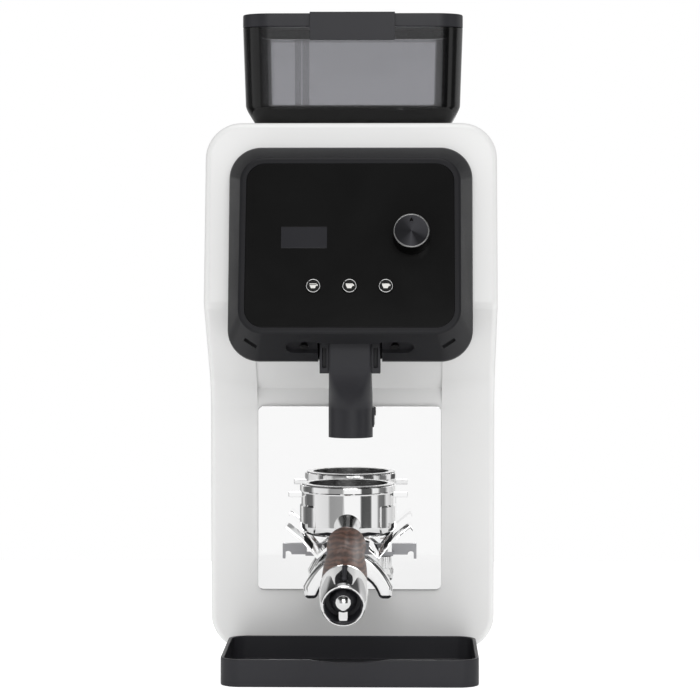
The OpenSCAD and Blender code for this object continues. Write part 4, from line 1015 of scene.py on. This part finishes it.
# %% Dial
CONTROL_ROW, KNOB_X = 5.4, 42.8
dial = turned([(0, 0.6), (KNOB_R - 0.4, 0.6), (KNOB_R - 0.4, KNOB_H - 1.2), (KNOB_R - 0.8, KNOB_H - 0.3),
               (KNOB_R - 1.1, KNOB_H), (FACE_R, KNOB_H), (FACE_R - 0.3, FACE_H), (0, FACE_H)], sides=128)
mark = prism([(-1.5, FACE_R - 4.6, FACE_H - 0.8), (1.5, FACE_R - 4.6, FACE_H - 0.8),
              (0, FACE_R - 1.6, FACE_H - 0.8)], (0, 0, 3))
cut(dial, mark)
soften(dial, 0.12, steps=2, angle=30)
dial_finish = turned_face_with_painted_fans("dial_face", PANEL_MID + PANEL_SIDE * KNOB_X + PANEL_UP * CONTROL_ROW)
dial = done(on_panel(dial, KNOB_X, CONTROL_ROW), "dial", "dial", dark_anodised, "knob", angle=25)
dial.data.materials[0] = dial_finish

# %% [markdown]
# Each push button is a dark cap in a bright ring, with a raised cup on it. The cap and the ring are
# turned. The cup is an outline drawn out by about a third of a millimetre.

# %% Push buttons
BUTTON_R, BUTTON_H, BUTTON_ROW, BUTTON_GAP = 5.0, 1.4, 30.5, 25.2
CUP_Z, CUP_T = BUTTON_H - 0.55, 0.35
CUP = [(-2.6, 1.5), (-2.5, 0.2), (-1.5, -1.9), (1.2, -1.9), (2.2, 0.2), (2.3, 1.5)]
CUP_TOPS = {"left": 0.4, "middle": 0.9, "right": 1.5}


def push_button(side, where):
    """A dark cap, a bright ring and a raised cup that is a little, half or quite full."""
    node = "button_" + where
    cap = turned([(0, BUTTON_H - 0.5), (4.1, BUTTON_H - 0.5), (4.3, BUTTON_H - 0.7), (4.3, 0.4),
                  (BUTTON_R, 0), (BUTTON_R, -3.4), (BUTTON_R + 1, -3.4), (BUTTON_R + 1, -4.4),
                  (1.6, -4.4), (1.6, -6.5), (0, -6.5)])
    across = side * BUTTON_GAP
    done(on_panel(cap, across, -BUTTON_ROW), where + "_cap", node, dark_anodised, node, angle=25)
    ring = turned([(4.35, 0.3), (4.35, BUTTON_H - 0.3), (4.6, BUTTON_H - 0.1), (4.85, BUTTON_H - 0.3),
                   (BUTTON_R, 0.3), (4.35, 0.3)])
    done(on_panel(ring, across, -BUTTON_ROW), where + "_ring", node, chrome, angle=25)
    full = CUP_TOPS[where]
    cup = prism([(x, min(y, full), CUP_Z) for x, y in CUP], (0, 0, CUP_T))
    if full < 1.5:
        corners = [(-2.6, 1.5), (-2.6, 1.0), (2.3, 1.0), (2.3, 1.5)]
        rim = prism([(x, y, CUP_Z) for x, y in corners], (0, 0, CUP_T))
        cup = together(cup, rim)
    handle = block((2.2, -0.2, CUP_Z), (3.1, 0.9, CUP_Z + CUP_T))
    cup = together(cup, handle)
    done(on_panel(cup, across, -BUTTON_ROW), where + "_cup", node, white_plastic, angle=25)


for side, where in ((-1, "left"), (0, "middle"), (1, "right")):
    push_button(side, where)

# %% [markdown]
# ## The chute
# The outlet tube grows out of a block with a flat front, and the flat fades into the round in a
# soft U. Fusing a block and a tube would leave a hard seam. Slices that change little by little
# from a round to a flat-fronted outline, bridged into one skin, melt into each other as one
# moulding does. The bore is cut afterwards, so that its edge stays crisp.

# %% Chute
CHUTE_LOW, CHUTE_HIGH = span("chute_block")
TUBE_R, BORE_R = 15.7, 12.5
BLOCK_HALF = 14.7
BLOCK_FRONT = CHUTE_LOW.y
TUBE_FRONT, BLOCK_BACK = CHUTE_Y - TUBE_R, CHUTE_HIGH.y - 2
ROUND_Z, SQUARE_Z = 190.0, 222.0


def chute_slice(share):
    """From the round tube (0) to the flat-fronted block (1)."""
    ease = share * share * (3 - 2 * share)
    front = TUBE_FRONT + (BLOCK_FRONT - TUBE_FRONT) * ease
    back = CHUTE_Y + TUBE_R + (BLOCK_BACK - CHUTE_Y - TUBE_R) * ease
    width = 2 * TUBE_R + 2 * (BLOCK_HALF - TUBE_R) * ease
    corner = min(1.5 + (TUBE_R - 1.6) * (1 - ease), width / 2 - 0.05)
    return width, back - front, corner, ROUND_Z + (SQUARE_Z - ROUND_Z) * share, (front + back) / 2


chute = stack([(*chute_slice(0)[:3], CHUTE_LOW.z, CHUTE_Y)] + [chute_slice(i / 10) for i in range(11)]
              + [(*chute_slice(1)[:3], CHUTE_HIGH.z - 1, chute_slice(1)[4])], steps=14)
tab = block((TUBE_R - 2, CHUTE_Y - 2, CHUTE_LOW.z + 7), (TUBE_R + 0.9, CHUTE_Y + 2, CHUTE_LOW.z + 21))
fuse(chute, soften(tab, 0.3))
cut(chute, rod(BORE_R, CHUTE_LOW.z - 5, CHUTE_HIGH.z + 5, y=CHUTE_Y, sides=128))
soften(chute, 0.4, steps=2, angle=55)
done(chute, "chute", "grinder", dark_plastic, "chute_block", angle=38)

# %% [markdown]
# Two spring clips hold the chute from the sides. Their engineering shape is already the real one.

# %% Clips beside the chute
softened("chute_clips", "chute_clips_piece", "grinder", dark_plastic, 0.35)

# %% [markdown]
# ## The polished plate
# A sheet of polished steel with small round corners. Its slightly rounded edge catches a thin line
# of light against the white casing.

# %% Plate
PLATE_W, PLATE_H = PLATE_HIGH.x - PLATE_LOW.x, PLATE_HIGH.z - PLATE_LOW.z
plate = raised(sheet_with_corners(PLATE_W, PLATE_H, 4, steps=8), PLATE_HIGH.y - PLATE_LOW.y)
place(plate, ((PLATE_LOW.x + PLATE_HIGH.x) / 2, 0, (PLATE_LOW.z + PLATE_HIGH.z) / 2), tilt=90)
done(soften(plate, 0.5, steps=3), "polished_plate", "grinder", mirror_steel, "mirror_plate")

# %% [markdown]
# The fork holds the portafilter while it fills: a satin bracket on the plate, two bent arms with
# rubber strips, and a thumb screw. Bent sheet has even, small rounds, so softened copies serve
# here too.

# %% Fork
bracket = softened("fork_bracket", "fork_bracket_piece", "grinder", basket_steel, 0.4)
bracket.data.materials[0] = satin_steel
softened("fork_arms", "fork_arms_piece", "grinder", chrome, 0.45)
softened("fork_pads", "fork_pads_piece", "grinder", rubber, 0.2)
softened("thumb_screw", "thumb_screw_piece", "fork_screw", chrome, 0.3)

# %% [markdown]
# ## The portafilter
# A turned brass bowl with polished chrome on it: a rim bead, straight sides and a rounded
# underside, with two lugs and a neck for the handle. The two flanks carry a raised pad each.

# %% Bowl
DOCK_X = (PLATE_LOW.x + PLATE_HIGH.x) / 2
PF_Y = -53.0
BOWL_H, BOWL_R, BOWL_IN, BOWL_ROUND = 36, 33.5, 30.2, 7.5
BOWL_Z = span("portafilter_bowl")[1].z - BOWL_H
DROOP, HANDLE_UP = 15.0, 16.5
LUG_AT, LUG_HALF = 34, 8.5


def on_bowl(piece, z=0.0):
    return place(piece, (DOCK_X, PF_Y, z))


def on_handle(piece, s=0.0):
    """Sets a piece on the handle's own line, with its z pointing out along it."""
    place(piece, (0, 0, s))
    return place(piece, (DOCK_X, PF_Y, BOWL_Z + HANDLE_UP), tilt=90 + DROOP)


bowl = turned([(0, 0), (BOWL_R - 13, 0)] + arc(BOWL_R - BOWL_ROUND, BOWL_ROUND, BOWL_ROUND, -90, 0, 8)
              + [(BOWL_R, 30), (BOWL_R + 0.2, 31), (BOWL_R + 1, 31.8), (BOWL_R + 1, 35.0),
                 (BOWL_R + 0.6, 35.8), (BOWL_R, BOWL_H), (0, BOWL_H)], sides=128)
pads = turned([(20, 1.2), (BOWL_R - 5.2, 1.2)] + arc(BOWL_R - 5.2, 7, 6.3, -70, 0, 6)
              + [(BOWL_R + 1.1, 21.0), (BOWL_R - 0.3, 22.6), (20, 22.6), (20, 1.2)], sides=128)
cut(pads, block((-24, -60, -5), (24, 60, 40)))
fuse(bowl, soften(pads, 0.9, steps=4, angle=30))
for side in (-1, 1):
    lug = block((side * LUG_AT - LUG_HALF, -6, 27), (side * LUG_AT + LUG_HALF, 6, 31))
    fuse(bowl, soften(lug, 0.5, steps=2))
on_bowl(bowl, BOWL_Z)
neck = turned([(0, 22), (10.6, 22), (9.4, 34), (8.2, 40), (7.6, 48), (7.6, 60), (9.0, 62),
               (9.0, 64), (0, 64)])
fuse(bowl, on_handle(neck))
cut(bowl, on_bowl(rod(BOWL_IN, 3, 60, sides=128), BOWL_Z), on_bowl(rod(5, -5, 10), BOWL_Z))
done(bowl, "portafilter_bowl_piece", "portafilter", chrome, "portafilter_bowl", angle=32)

# %% [markdown]
# The basket is pressed steel and drops into the bowl. The double spout is cast: two legs that leave
# the middle together, curve outwards and down, and end in an outlet each. Half the front view is
# drawn with two curves, mirrored, filled and drawn out, and a wide bevel makes the legs almost round.

# %% Basket and spout
softened("portafilter_basket", "basket", "portafilter", basket_steel, 0.25)


def swept(start, pull, end, steps=7):
    """Points along a curve that sets off towards a pulling point and comes in to its end from it."""
    shares = [i / steps for i in range(steps + 1)]
    return [tuple((1 - t) ** 2 * s + 2 * t * (1 - t) * p + t * t * e for s, p, e in zip(start, pull, end))
            for t in shares]


SPOUT_OUT, SPOUT_DROP, SPOUT_T = 27, 46, 14
OUTLET_R, INLET_R = 3, 5
upper_side = swept((10, -14), (23, -19), (SPOUT_OUT + 5, 9 - SPOUT_DROP))
lower_side = swept((SPOUT_OUT - 5, -SPOUT_DROP), (19, -31), (0, -27))
half_spout = [(9, -7)] + upper_side + [(SPOUT_OUT + 4.4, -SPOUT_DROP)] + lower_side
spout_outline = half_spout + [(-x, z) for x, z in reversed(half_spout[:-1])]
spout = prism([(x, -SPOUT_T / 2, z) for x, z in spout_outline], (0, SPOUT_T, 0))
soften(spout, 3.4, steps=5, angle=60)
fuse(spout, rod(9.5, -9, 0))
cut(spout, rod(OUTLET_R, -60, -38, x=-SPOUT_OUT), rod(OUTLET_R, -60, -38, x=SPOUT_OUT),
    rod(INLET_R, -18, 12))
done(on_bowl(spout, BOWL_Z), "twin_spout", "portafilter", chrome, "portafilter_spout", angle=35)

# %% [markdown]
# The grip is turned from walnut. A quarter of an ellipse makes its domed shoulder. Behind that it
# draws in a little, for the thumb, and swells evenly towards the end cap.

# %% Grip
GRIP_S, GRIP_L, CAP_L = 64.0, 78.0, 34.0
CAP_R, SHOULDER, GRIP_BORE = 16.3, 13.6, 4
SWELL, WAIST, DOME_W, DOME_L = 1.9, 1.0, 7.0, 8.0


def grip_radius(share):
    """The grip's radius from its shoulder (0) to the cap (1)."""
    return (SHOULDER + SWELL * share * share * (3 - 2 * share)
            - WAIST * math.sin(math.pi * min(1, share * 1.9)))


shoulder = [math.radians(15 * i) for i in range(1, 7)]
grip = turned([(GRIP_BORE, -4), (6.6, -4)]
              + [(6.6 + DOME_W * math.sin(a), 4 - DOME_L * math.cos(a)) for a in shoulder]
              + [(grip_radius(i / 12), 6 + 72 * i / 12) for i in range(1, 13)] + [(GRIP_BORE, GRIP_L)])
done(on_handle(grip, GRIP_S), "wooden_grip", "portafilter", walnut, "handle_grip", angle=50)

# %% [markdown]
# The end cap is a chrome cup over the end of the grip. Inside its rim sits a black liner, and out of
# that stands a faceted boss with a short tongue below it. A lathe with only twelve sides gives the
# facets.

# %% End cap
cap = turned([(4, 0), (15.2, 0), (15.8, 0.4), (16.2, 1.4), (CAP_R, 4), (CAP_R, 14), (16.1, 22),
              (15.4, 29), (14.6, 33), (14.1, CAP_L), (13.4, CAP_L), (13.0, 33.6), (12.7, 22), (4, 20)],
             sides=128)
done(on_handle(cap, GRIP_S + GRIP_L), "end_cap", "portafilter", chrome, "handle_cap", angle=32)
liner = turned([(0, 20.3), (12.5, 22.2), (12.8, 33.3), (12.2, 33.3), (11.9, 23), (0, 21)], sides=128)
done(on_handle(liner, GRIP_S + GRIP_L), "cap_liner", "portafilter", dark_plastic)
dome = turned([(0, 20), (10.0, 20), (9.8, 25), (7.6, 30.5), (3.2, 34), (0, 34.3)], sides=12)
tongue = soften(block((-3.5, -12.4, 22), (3.5, -4, 31.5)), 1.2, steps=3)
boss = on_handle(fuse(place(dome, (0, 0.8, 0)), tongue), GRIP_S + GRIP_L)
done(soften(boss, 0.6, steps=3), "cap_boss", "portafilter", chrome)

# %% [markdown]
# ## The hopper
# The hopper is moulded in smoked plastic: walls of 2.5 mm that lean out a little, a rounded lower
# edge, and a funnel in its floor. Rounded rectangles set at rising heights and bridged give the
# outside, and a second stack cuts the inside.

# %% Hopper body
HOP_LOW, HOP_HIGH = span("hopper_body")
LID_LOW, LID_HIGH = span("hopper_lid")
HOP_Z, HOP_RIM = TOP + 0.3, HOP_HIGH.z
HOP_W, HOP_D, HOP_R = HOP_HIGH.x - HOP_LOW.x, HOP_HIGH.y - HOP_LOW.y, 20.0
HOP_T, HOP_LEAN = 2.5, 2.35
CURVE_SHAPE = [(0, 8.6), (1.2, 6.9), (3.4, 5.4), (6.4, 3.6), (9.6, 1.7), (12, 0.6), (14, 0)]
CURVE = CURVE_SHAPE[-1][0]
HOP_FLOOR = HOP_Z + 12.6
NECK_R = 25.0
BASE_SKIN, BASE_TOP = 1.4, HOP_FLOOR - 1.6


def hopper_slice(z, inset, radius=HOP_R):
    return HOP_W - 2 * inset, HOP_D - 2 * inset, max(radius - inset / 2, 4), z


def lean_at(z):
    """How far the leaning wall is set in at a height."""
    return HOP_LEAN * (1 - (z - HOP_Z) / (HOP_RIM - HOP_Z))


low_curve = [hopper_slice(HOP_Z + rise, lean_at(HOP_Z + CURVE) + inset) for rise, inset in CURVE_SHAPE]
hopper = stack(low_curve + [hopper_slice(HOP_RIM, 0)], y=BURR_Y)
fuse(hopper, rod(NECK_R, HOP_LOW.z, HOP_Z + 3, y=BURR_Y))
inside = stack([hopper_slice(HOP_FLOOR, HOP_T + lean_at(HOP_FLOOR) + 1.5),
                hopper_slice(HOP_FLOOR + 1.2, HOP_T + lean_at(HOP_FLOOR) + 0.4),
                hopper_slice(HOP_FLOOR + 4, HOP_T + lean_at(HOP_FLOOR + 4)),
                hopper_slice(HOP_RIM + 1, HOP_T)], y=BURR_Y)
funnel = place(turned([(0, -1), (NECK_R - 3, -1), (62, 10.7), (0, 10.7)]), (0, BURR_Y, HOP_Z + 2))
cut(hopper, inside, funnel, rod(NECK_R - 3, HOP_LOW.z - 2, HOP_Z + 20, y=BURR_Y))

# %% [markdown]
# Light that gets into the thick lower edge hardly leaves it, so it looks black. That darkness is
# painted shade: a black piece is let into the underside, behind a thin skin of the clear wall. It is
# drawn twice from one function: once to cut its room, and once, a tenth of a millimetre smaller, as
# the piece.


# %% Dark underside of painted shade
def painted_shade_base(gap):
    """The black underside of painted shade set into the hopper: its lower curve, less a skin, round the
    funnel.
    """
    rises = [(HOP_Z - 1, CURVE_SHAPE[0][1])]
    rises += [(HOP_Z + rise, inset) for rise, inset in CURVE_SHAPE if HOP_Z + rise < BASE_TOP]
    rises += [(BASE_TOP, 0.3)]
    further_in = lean_at(HOP_Z + CURVE) + BASE_SKIN - gap
    base = stack([hopper_slice(z, inset + further_in) for z, inset in rises], y=BURR_Y)
    cone = turned([(0, -3), (NECK_R + 4 - gap, -3), (65 - gap, 10.7), (0, 10.7)])
    place(cone, (0, BURR_Y, HOP_Z + 1.6))
    return cut(base, cone, rod(NECK_R + 1 - gap, HOP_LOW.z, HOP_Z + 5, y=BURR_Y))


cut(hopper, painted_shade_base(0.0))
soften(hopper, 0.35, steps=2, angle=40)
done(hopper, "hopper", "hopper", smoked_plastic, "hopper_body", angle=30)

# The black piece itself: painted shade for the dark lower edge of the clear hopper.
under = painted_shade_base(-0.1)
cut(under, block((-90, BURR_Y - 90, HOP_Z - 5), (90, BURR_Y + 90, HOP_Z + 0.1)))
done(under, "hopper_underside", "hopper", dark_plastic)

# %% [markdown]
# Behind the front wall, left of the middle, two upright strips of the same clear plastic form the
# channel in which the shutter's slide runs. They are thin, so a finish that is mostly see-through
# does better here than real refraction.

# %% Channel for the shutter, inside the front wall
STRIPS = [(-42, -37.4), (-36.5, -31.5)]
STRIP_FRONT, STRIP_BACK = HOP_LOW.y + 4.2, HOP_LOW.y + 6.4
channel = together(*[block((left, STRIP_FRONT, HOP_FLOOR + 0.6), (right, STRIP_BACK, HOP_RIM - 8.5))
                     for left, right in STRIPS])
channel = done(soften(channel, 0.2), "hopper_channel", "hopper", smoked_plastic)
channel.data.materials[0] = thin_smoke

# %% [markdown]
# The lid is a shallow black moulding with a sunken field on top and a tab for the finger in front.
# A thin skirt under it drops inside the hopper's rim, and keeps the lid in place.

# %% Lid
lid = stack([hopper_slice(HOP_RIM + 0.3, 0.5), hopper_slice(HOP_RIM + 0.8, 0),
             hopper_slice(LID_HIGH.z - 2.0, 0), hopper_slice(LID_HIGH.z - 1.1, 0.3),
             hopper_slice(LID_HIGH.z - 0.8, 1.2)], y=BURR_Y)
lid_space = stack([hopper_slice(HOP_RIM - 1, 6), hopper_slice(LID_HIGH.z - 4, 6)], y=BURR_Y)
top_field = stack([hopper_slice(LID_HIGH.z - 1.8, 9), hopper_slice(LID_HIGH.z + 1, 8)], y=BURR_Y)
cut(lid, lid_space, top_field)
TAB_HALF = 31.0
tab = block((-TAB_HALF, LID_LOW.y, LID_LOW.z + 0.6), (TAB_HALF, LID_LOW.y + 2.2, LID_HIGH.z))
arm = block((-TAB_HALF, LID_LOW.y, HOP_RIM + 1.2), (TAB_HALF, LID_LOW.y + 6, LID_HIGH.z))
fuse(lid, fuse(tab, arm))
soften(lid, 0.5, steps=3, angle=40)
done(lid, "lid", "lid", dark_plastic, "hopper_lid", angle=35)

# %% [markdown]
# The skirt is a thin band, so it is one stack with another cut out of it. The guard stands over the
# throat and keeps fingers away from the burrs.

# %% The lid's skirt, and the guard over the throat
SKIRT_Z = LID_LOW.z + 7.8
SKIRT_OUT, SKIRT_IN = HOP_T + 1.5, HOP_T + 4
skirt = stack([hopper_slice(SKIRT_Z, SKIRT_OUT), hopper_slice(HOP_RIM + 2, SKIRT_OUT)], y=BURR_Y)
skirt_space = stack([hopper_slice(SKIRT_Z - 1, SKIRT_IN), hopper_slice(HOP_RIM + 3, SKIRT_IN)], y=BURR_Y)
skirt = done(soften(cut(skirt, skirt_space), 0.3), "lid_skirt", "lid", smoked_plastic)
skirt.data.materials[0] = thin_smoke
softened("hopper_guard", "throat_guard", "hopper", dark_plastic, 0.4)

# %% [markdown]
# ## The rear cover
# A plate of black sheet with rounded corners, two blocks of vents, and holes for the inlet and the
# switch. Edge rounding goes wrong on a merged copy of a plate with so many holes, so this one is
# drawn anew: a rounded sheet drawn up, with rounded cutters taken out of it.

# %% Rear cover
COVER_LOW, COVER_HIGH = span("rear_cover")
COVER_R = 23.2
COVER_MID = (COVER_LOW.z + COVER_HIGH.z) / 2
VENT_ROWS, VENT_PITCH, VENT_LOW, VENT_X, VENT_W, VENT_H = 12, 9, 58, 38, 52, 4
cover = sheet_with_corners(COVER_HIGH.x - COVER_LOW.x, COVER_HIGH.z - COVER_LOW.z, COVER_R, steps=12)


def through_hole(x, z, width, height, corner):
    """A cutter with round corners, set across the rear cover."""
    cutter = raised(sheet_with_corners(width, height, corner, steps=5), 12)
    return place(cutter, (x, COVER_HIGH.y + 5, z), tilt=90)


vents = [through_hole(x, COVER_MID - VENT_LOW + row * VENT_PITCH, VENT_W, VENT_H, 1.9)
         for row in range(VENT_ROWS) for x in (-VENT_X, VENT_X)]
cover = place(raised(cover, COVER_HIGH.y - COVER_LOW.y), (0, COVER_HIGH.y, COVER_MID), tilt=90)
INLET_LOW, INLET_HIGH = span("mains_inlet")
SWITCH_LOW, SWITCH_HIGH = span("switch_frame")
inlet_mid, switch_mid = (INLET_LOW + INLET_HIGH) / 2, (SWITCH_LOW + SWITCH_HIGH) / 2
cut(cover, together(*vents), through_hole(inlet_mid.x, inlet_mid.z, 27, 20, 1.5),
    through_hole(switch_mid.x, switch_mid.z, 19, 13, 1))
done(soften(cover, 0.5, angle=50), "back_cover", "grinder", dark_plastic, "rear_cover")

# %% [markdown]
# ## Tray, rear fittings, feet and adjusting ring
# These are moulded or turned parts whose engineering shape is already the real one. What they lack
# is the small round that every real edge has, so each is a copy with its edges softened.

# %% Softened copies
softened("drip_tray", "tray", "tray", dark_plastic, 0.7, steps=3)
softened("mains_inlet", "inlet", "grinder", dark_plastic, 0.4)
softened("switch_frame", "switch_surround", "grinder", dark_plastic, 0.3)
softened("switch_rocker", "rocker", "rocker", dark_plastic, 0.5, steps=3)
softened("rubber_feet", "feet", "grinder", rubber, 0.8, steps=3)
softened("adjusting_ring", "adjusting_ring_piece", "adjuster", cast_aluminium, 0.4)

# %% [markdown]
# ## The parts that keep their engineering shape
# Everything inside is already drawn as it is made, so it only needs its finish.

# %% The finish of each of the frame's own parts
FINISHES = {
    white_paint: ["body_shell"],
    dark_plastic: ["rear_cover", "head_housing", "chute_block", "chute_clips", "grounds_duct",
                   "hopper_guard", "hopper_lid", "mains_inlet", "switch_frame", "switch_rocker",
                   "drip_tray", "motor_fan"],
    panel_gloss: ["front_panel", "display"],
    mirror_steel: ["mirror_plate"],
    chrome: ["fork_bracket", "fork_arms", "fork_screws", "thumb_screw", "portafilter_bowl",
             "portafilter_spout", "handle_cap", "button_left", "button_middle", "button_right"],
    basket_steel: ["portafilter_basket", "basket_spring"],
    walnut: ["handle_grip"],
    rubber: ["rubber_feet", "fork_pads"],
    zinc_steel: ["base_plate", "foot_screws", "rear_screws", "chassis", "chassis_screws", "knob_shaft",
                 "upper_burr_screws", "lower_burr_screws", "handle_rod", "button_switches", "encoder"],
    dark_zinc: ["underside_screws"],
    burr_steel: ["upper_burr", "lower_burr", "motor_bearings", "motor_shaft"],
    cast_aluminium: ["adjusting_ring", "upper_burr_carrier", "lower_burr_carrier", "grinding_chamber",
                     "motor_top"],
    motor_paint: ["motor_housing"],
    laminations: ["motor_rotor"],
    copper_wire: ["motor_stator"],
    circuit_board: ["control_board", "power_board"],
    white_plastic: ["run_capacitor"],
    dark_anodised: ["knob"],
    smoked_plastic: ["hopper_body"],
}
for paint, names in FINISHES.items():
    for name in names:
        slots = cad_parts[name].data.materials
        slots.clear()
        slots.append(paint)
print("painted", sum(len(names) for names in FINISHES.values()), "parts of", len(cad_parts))
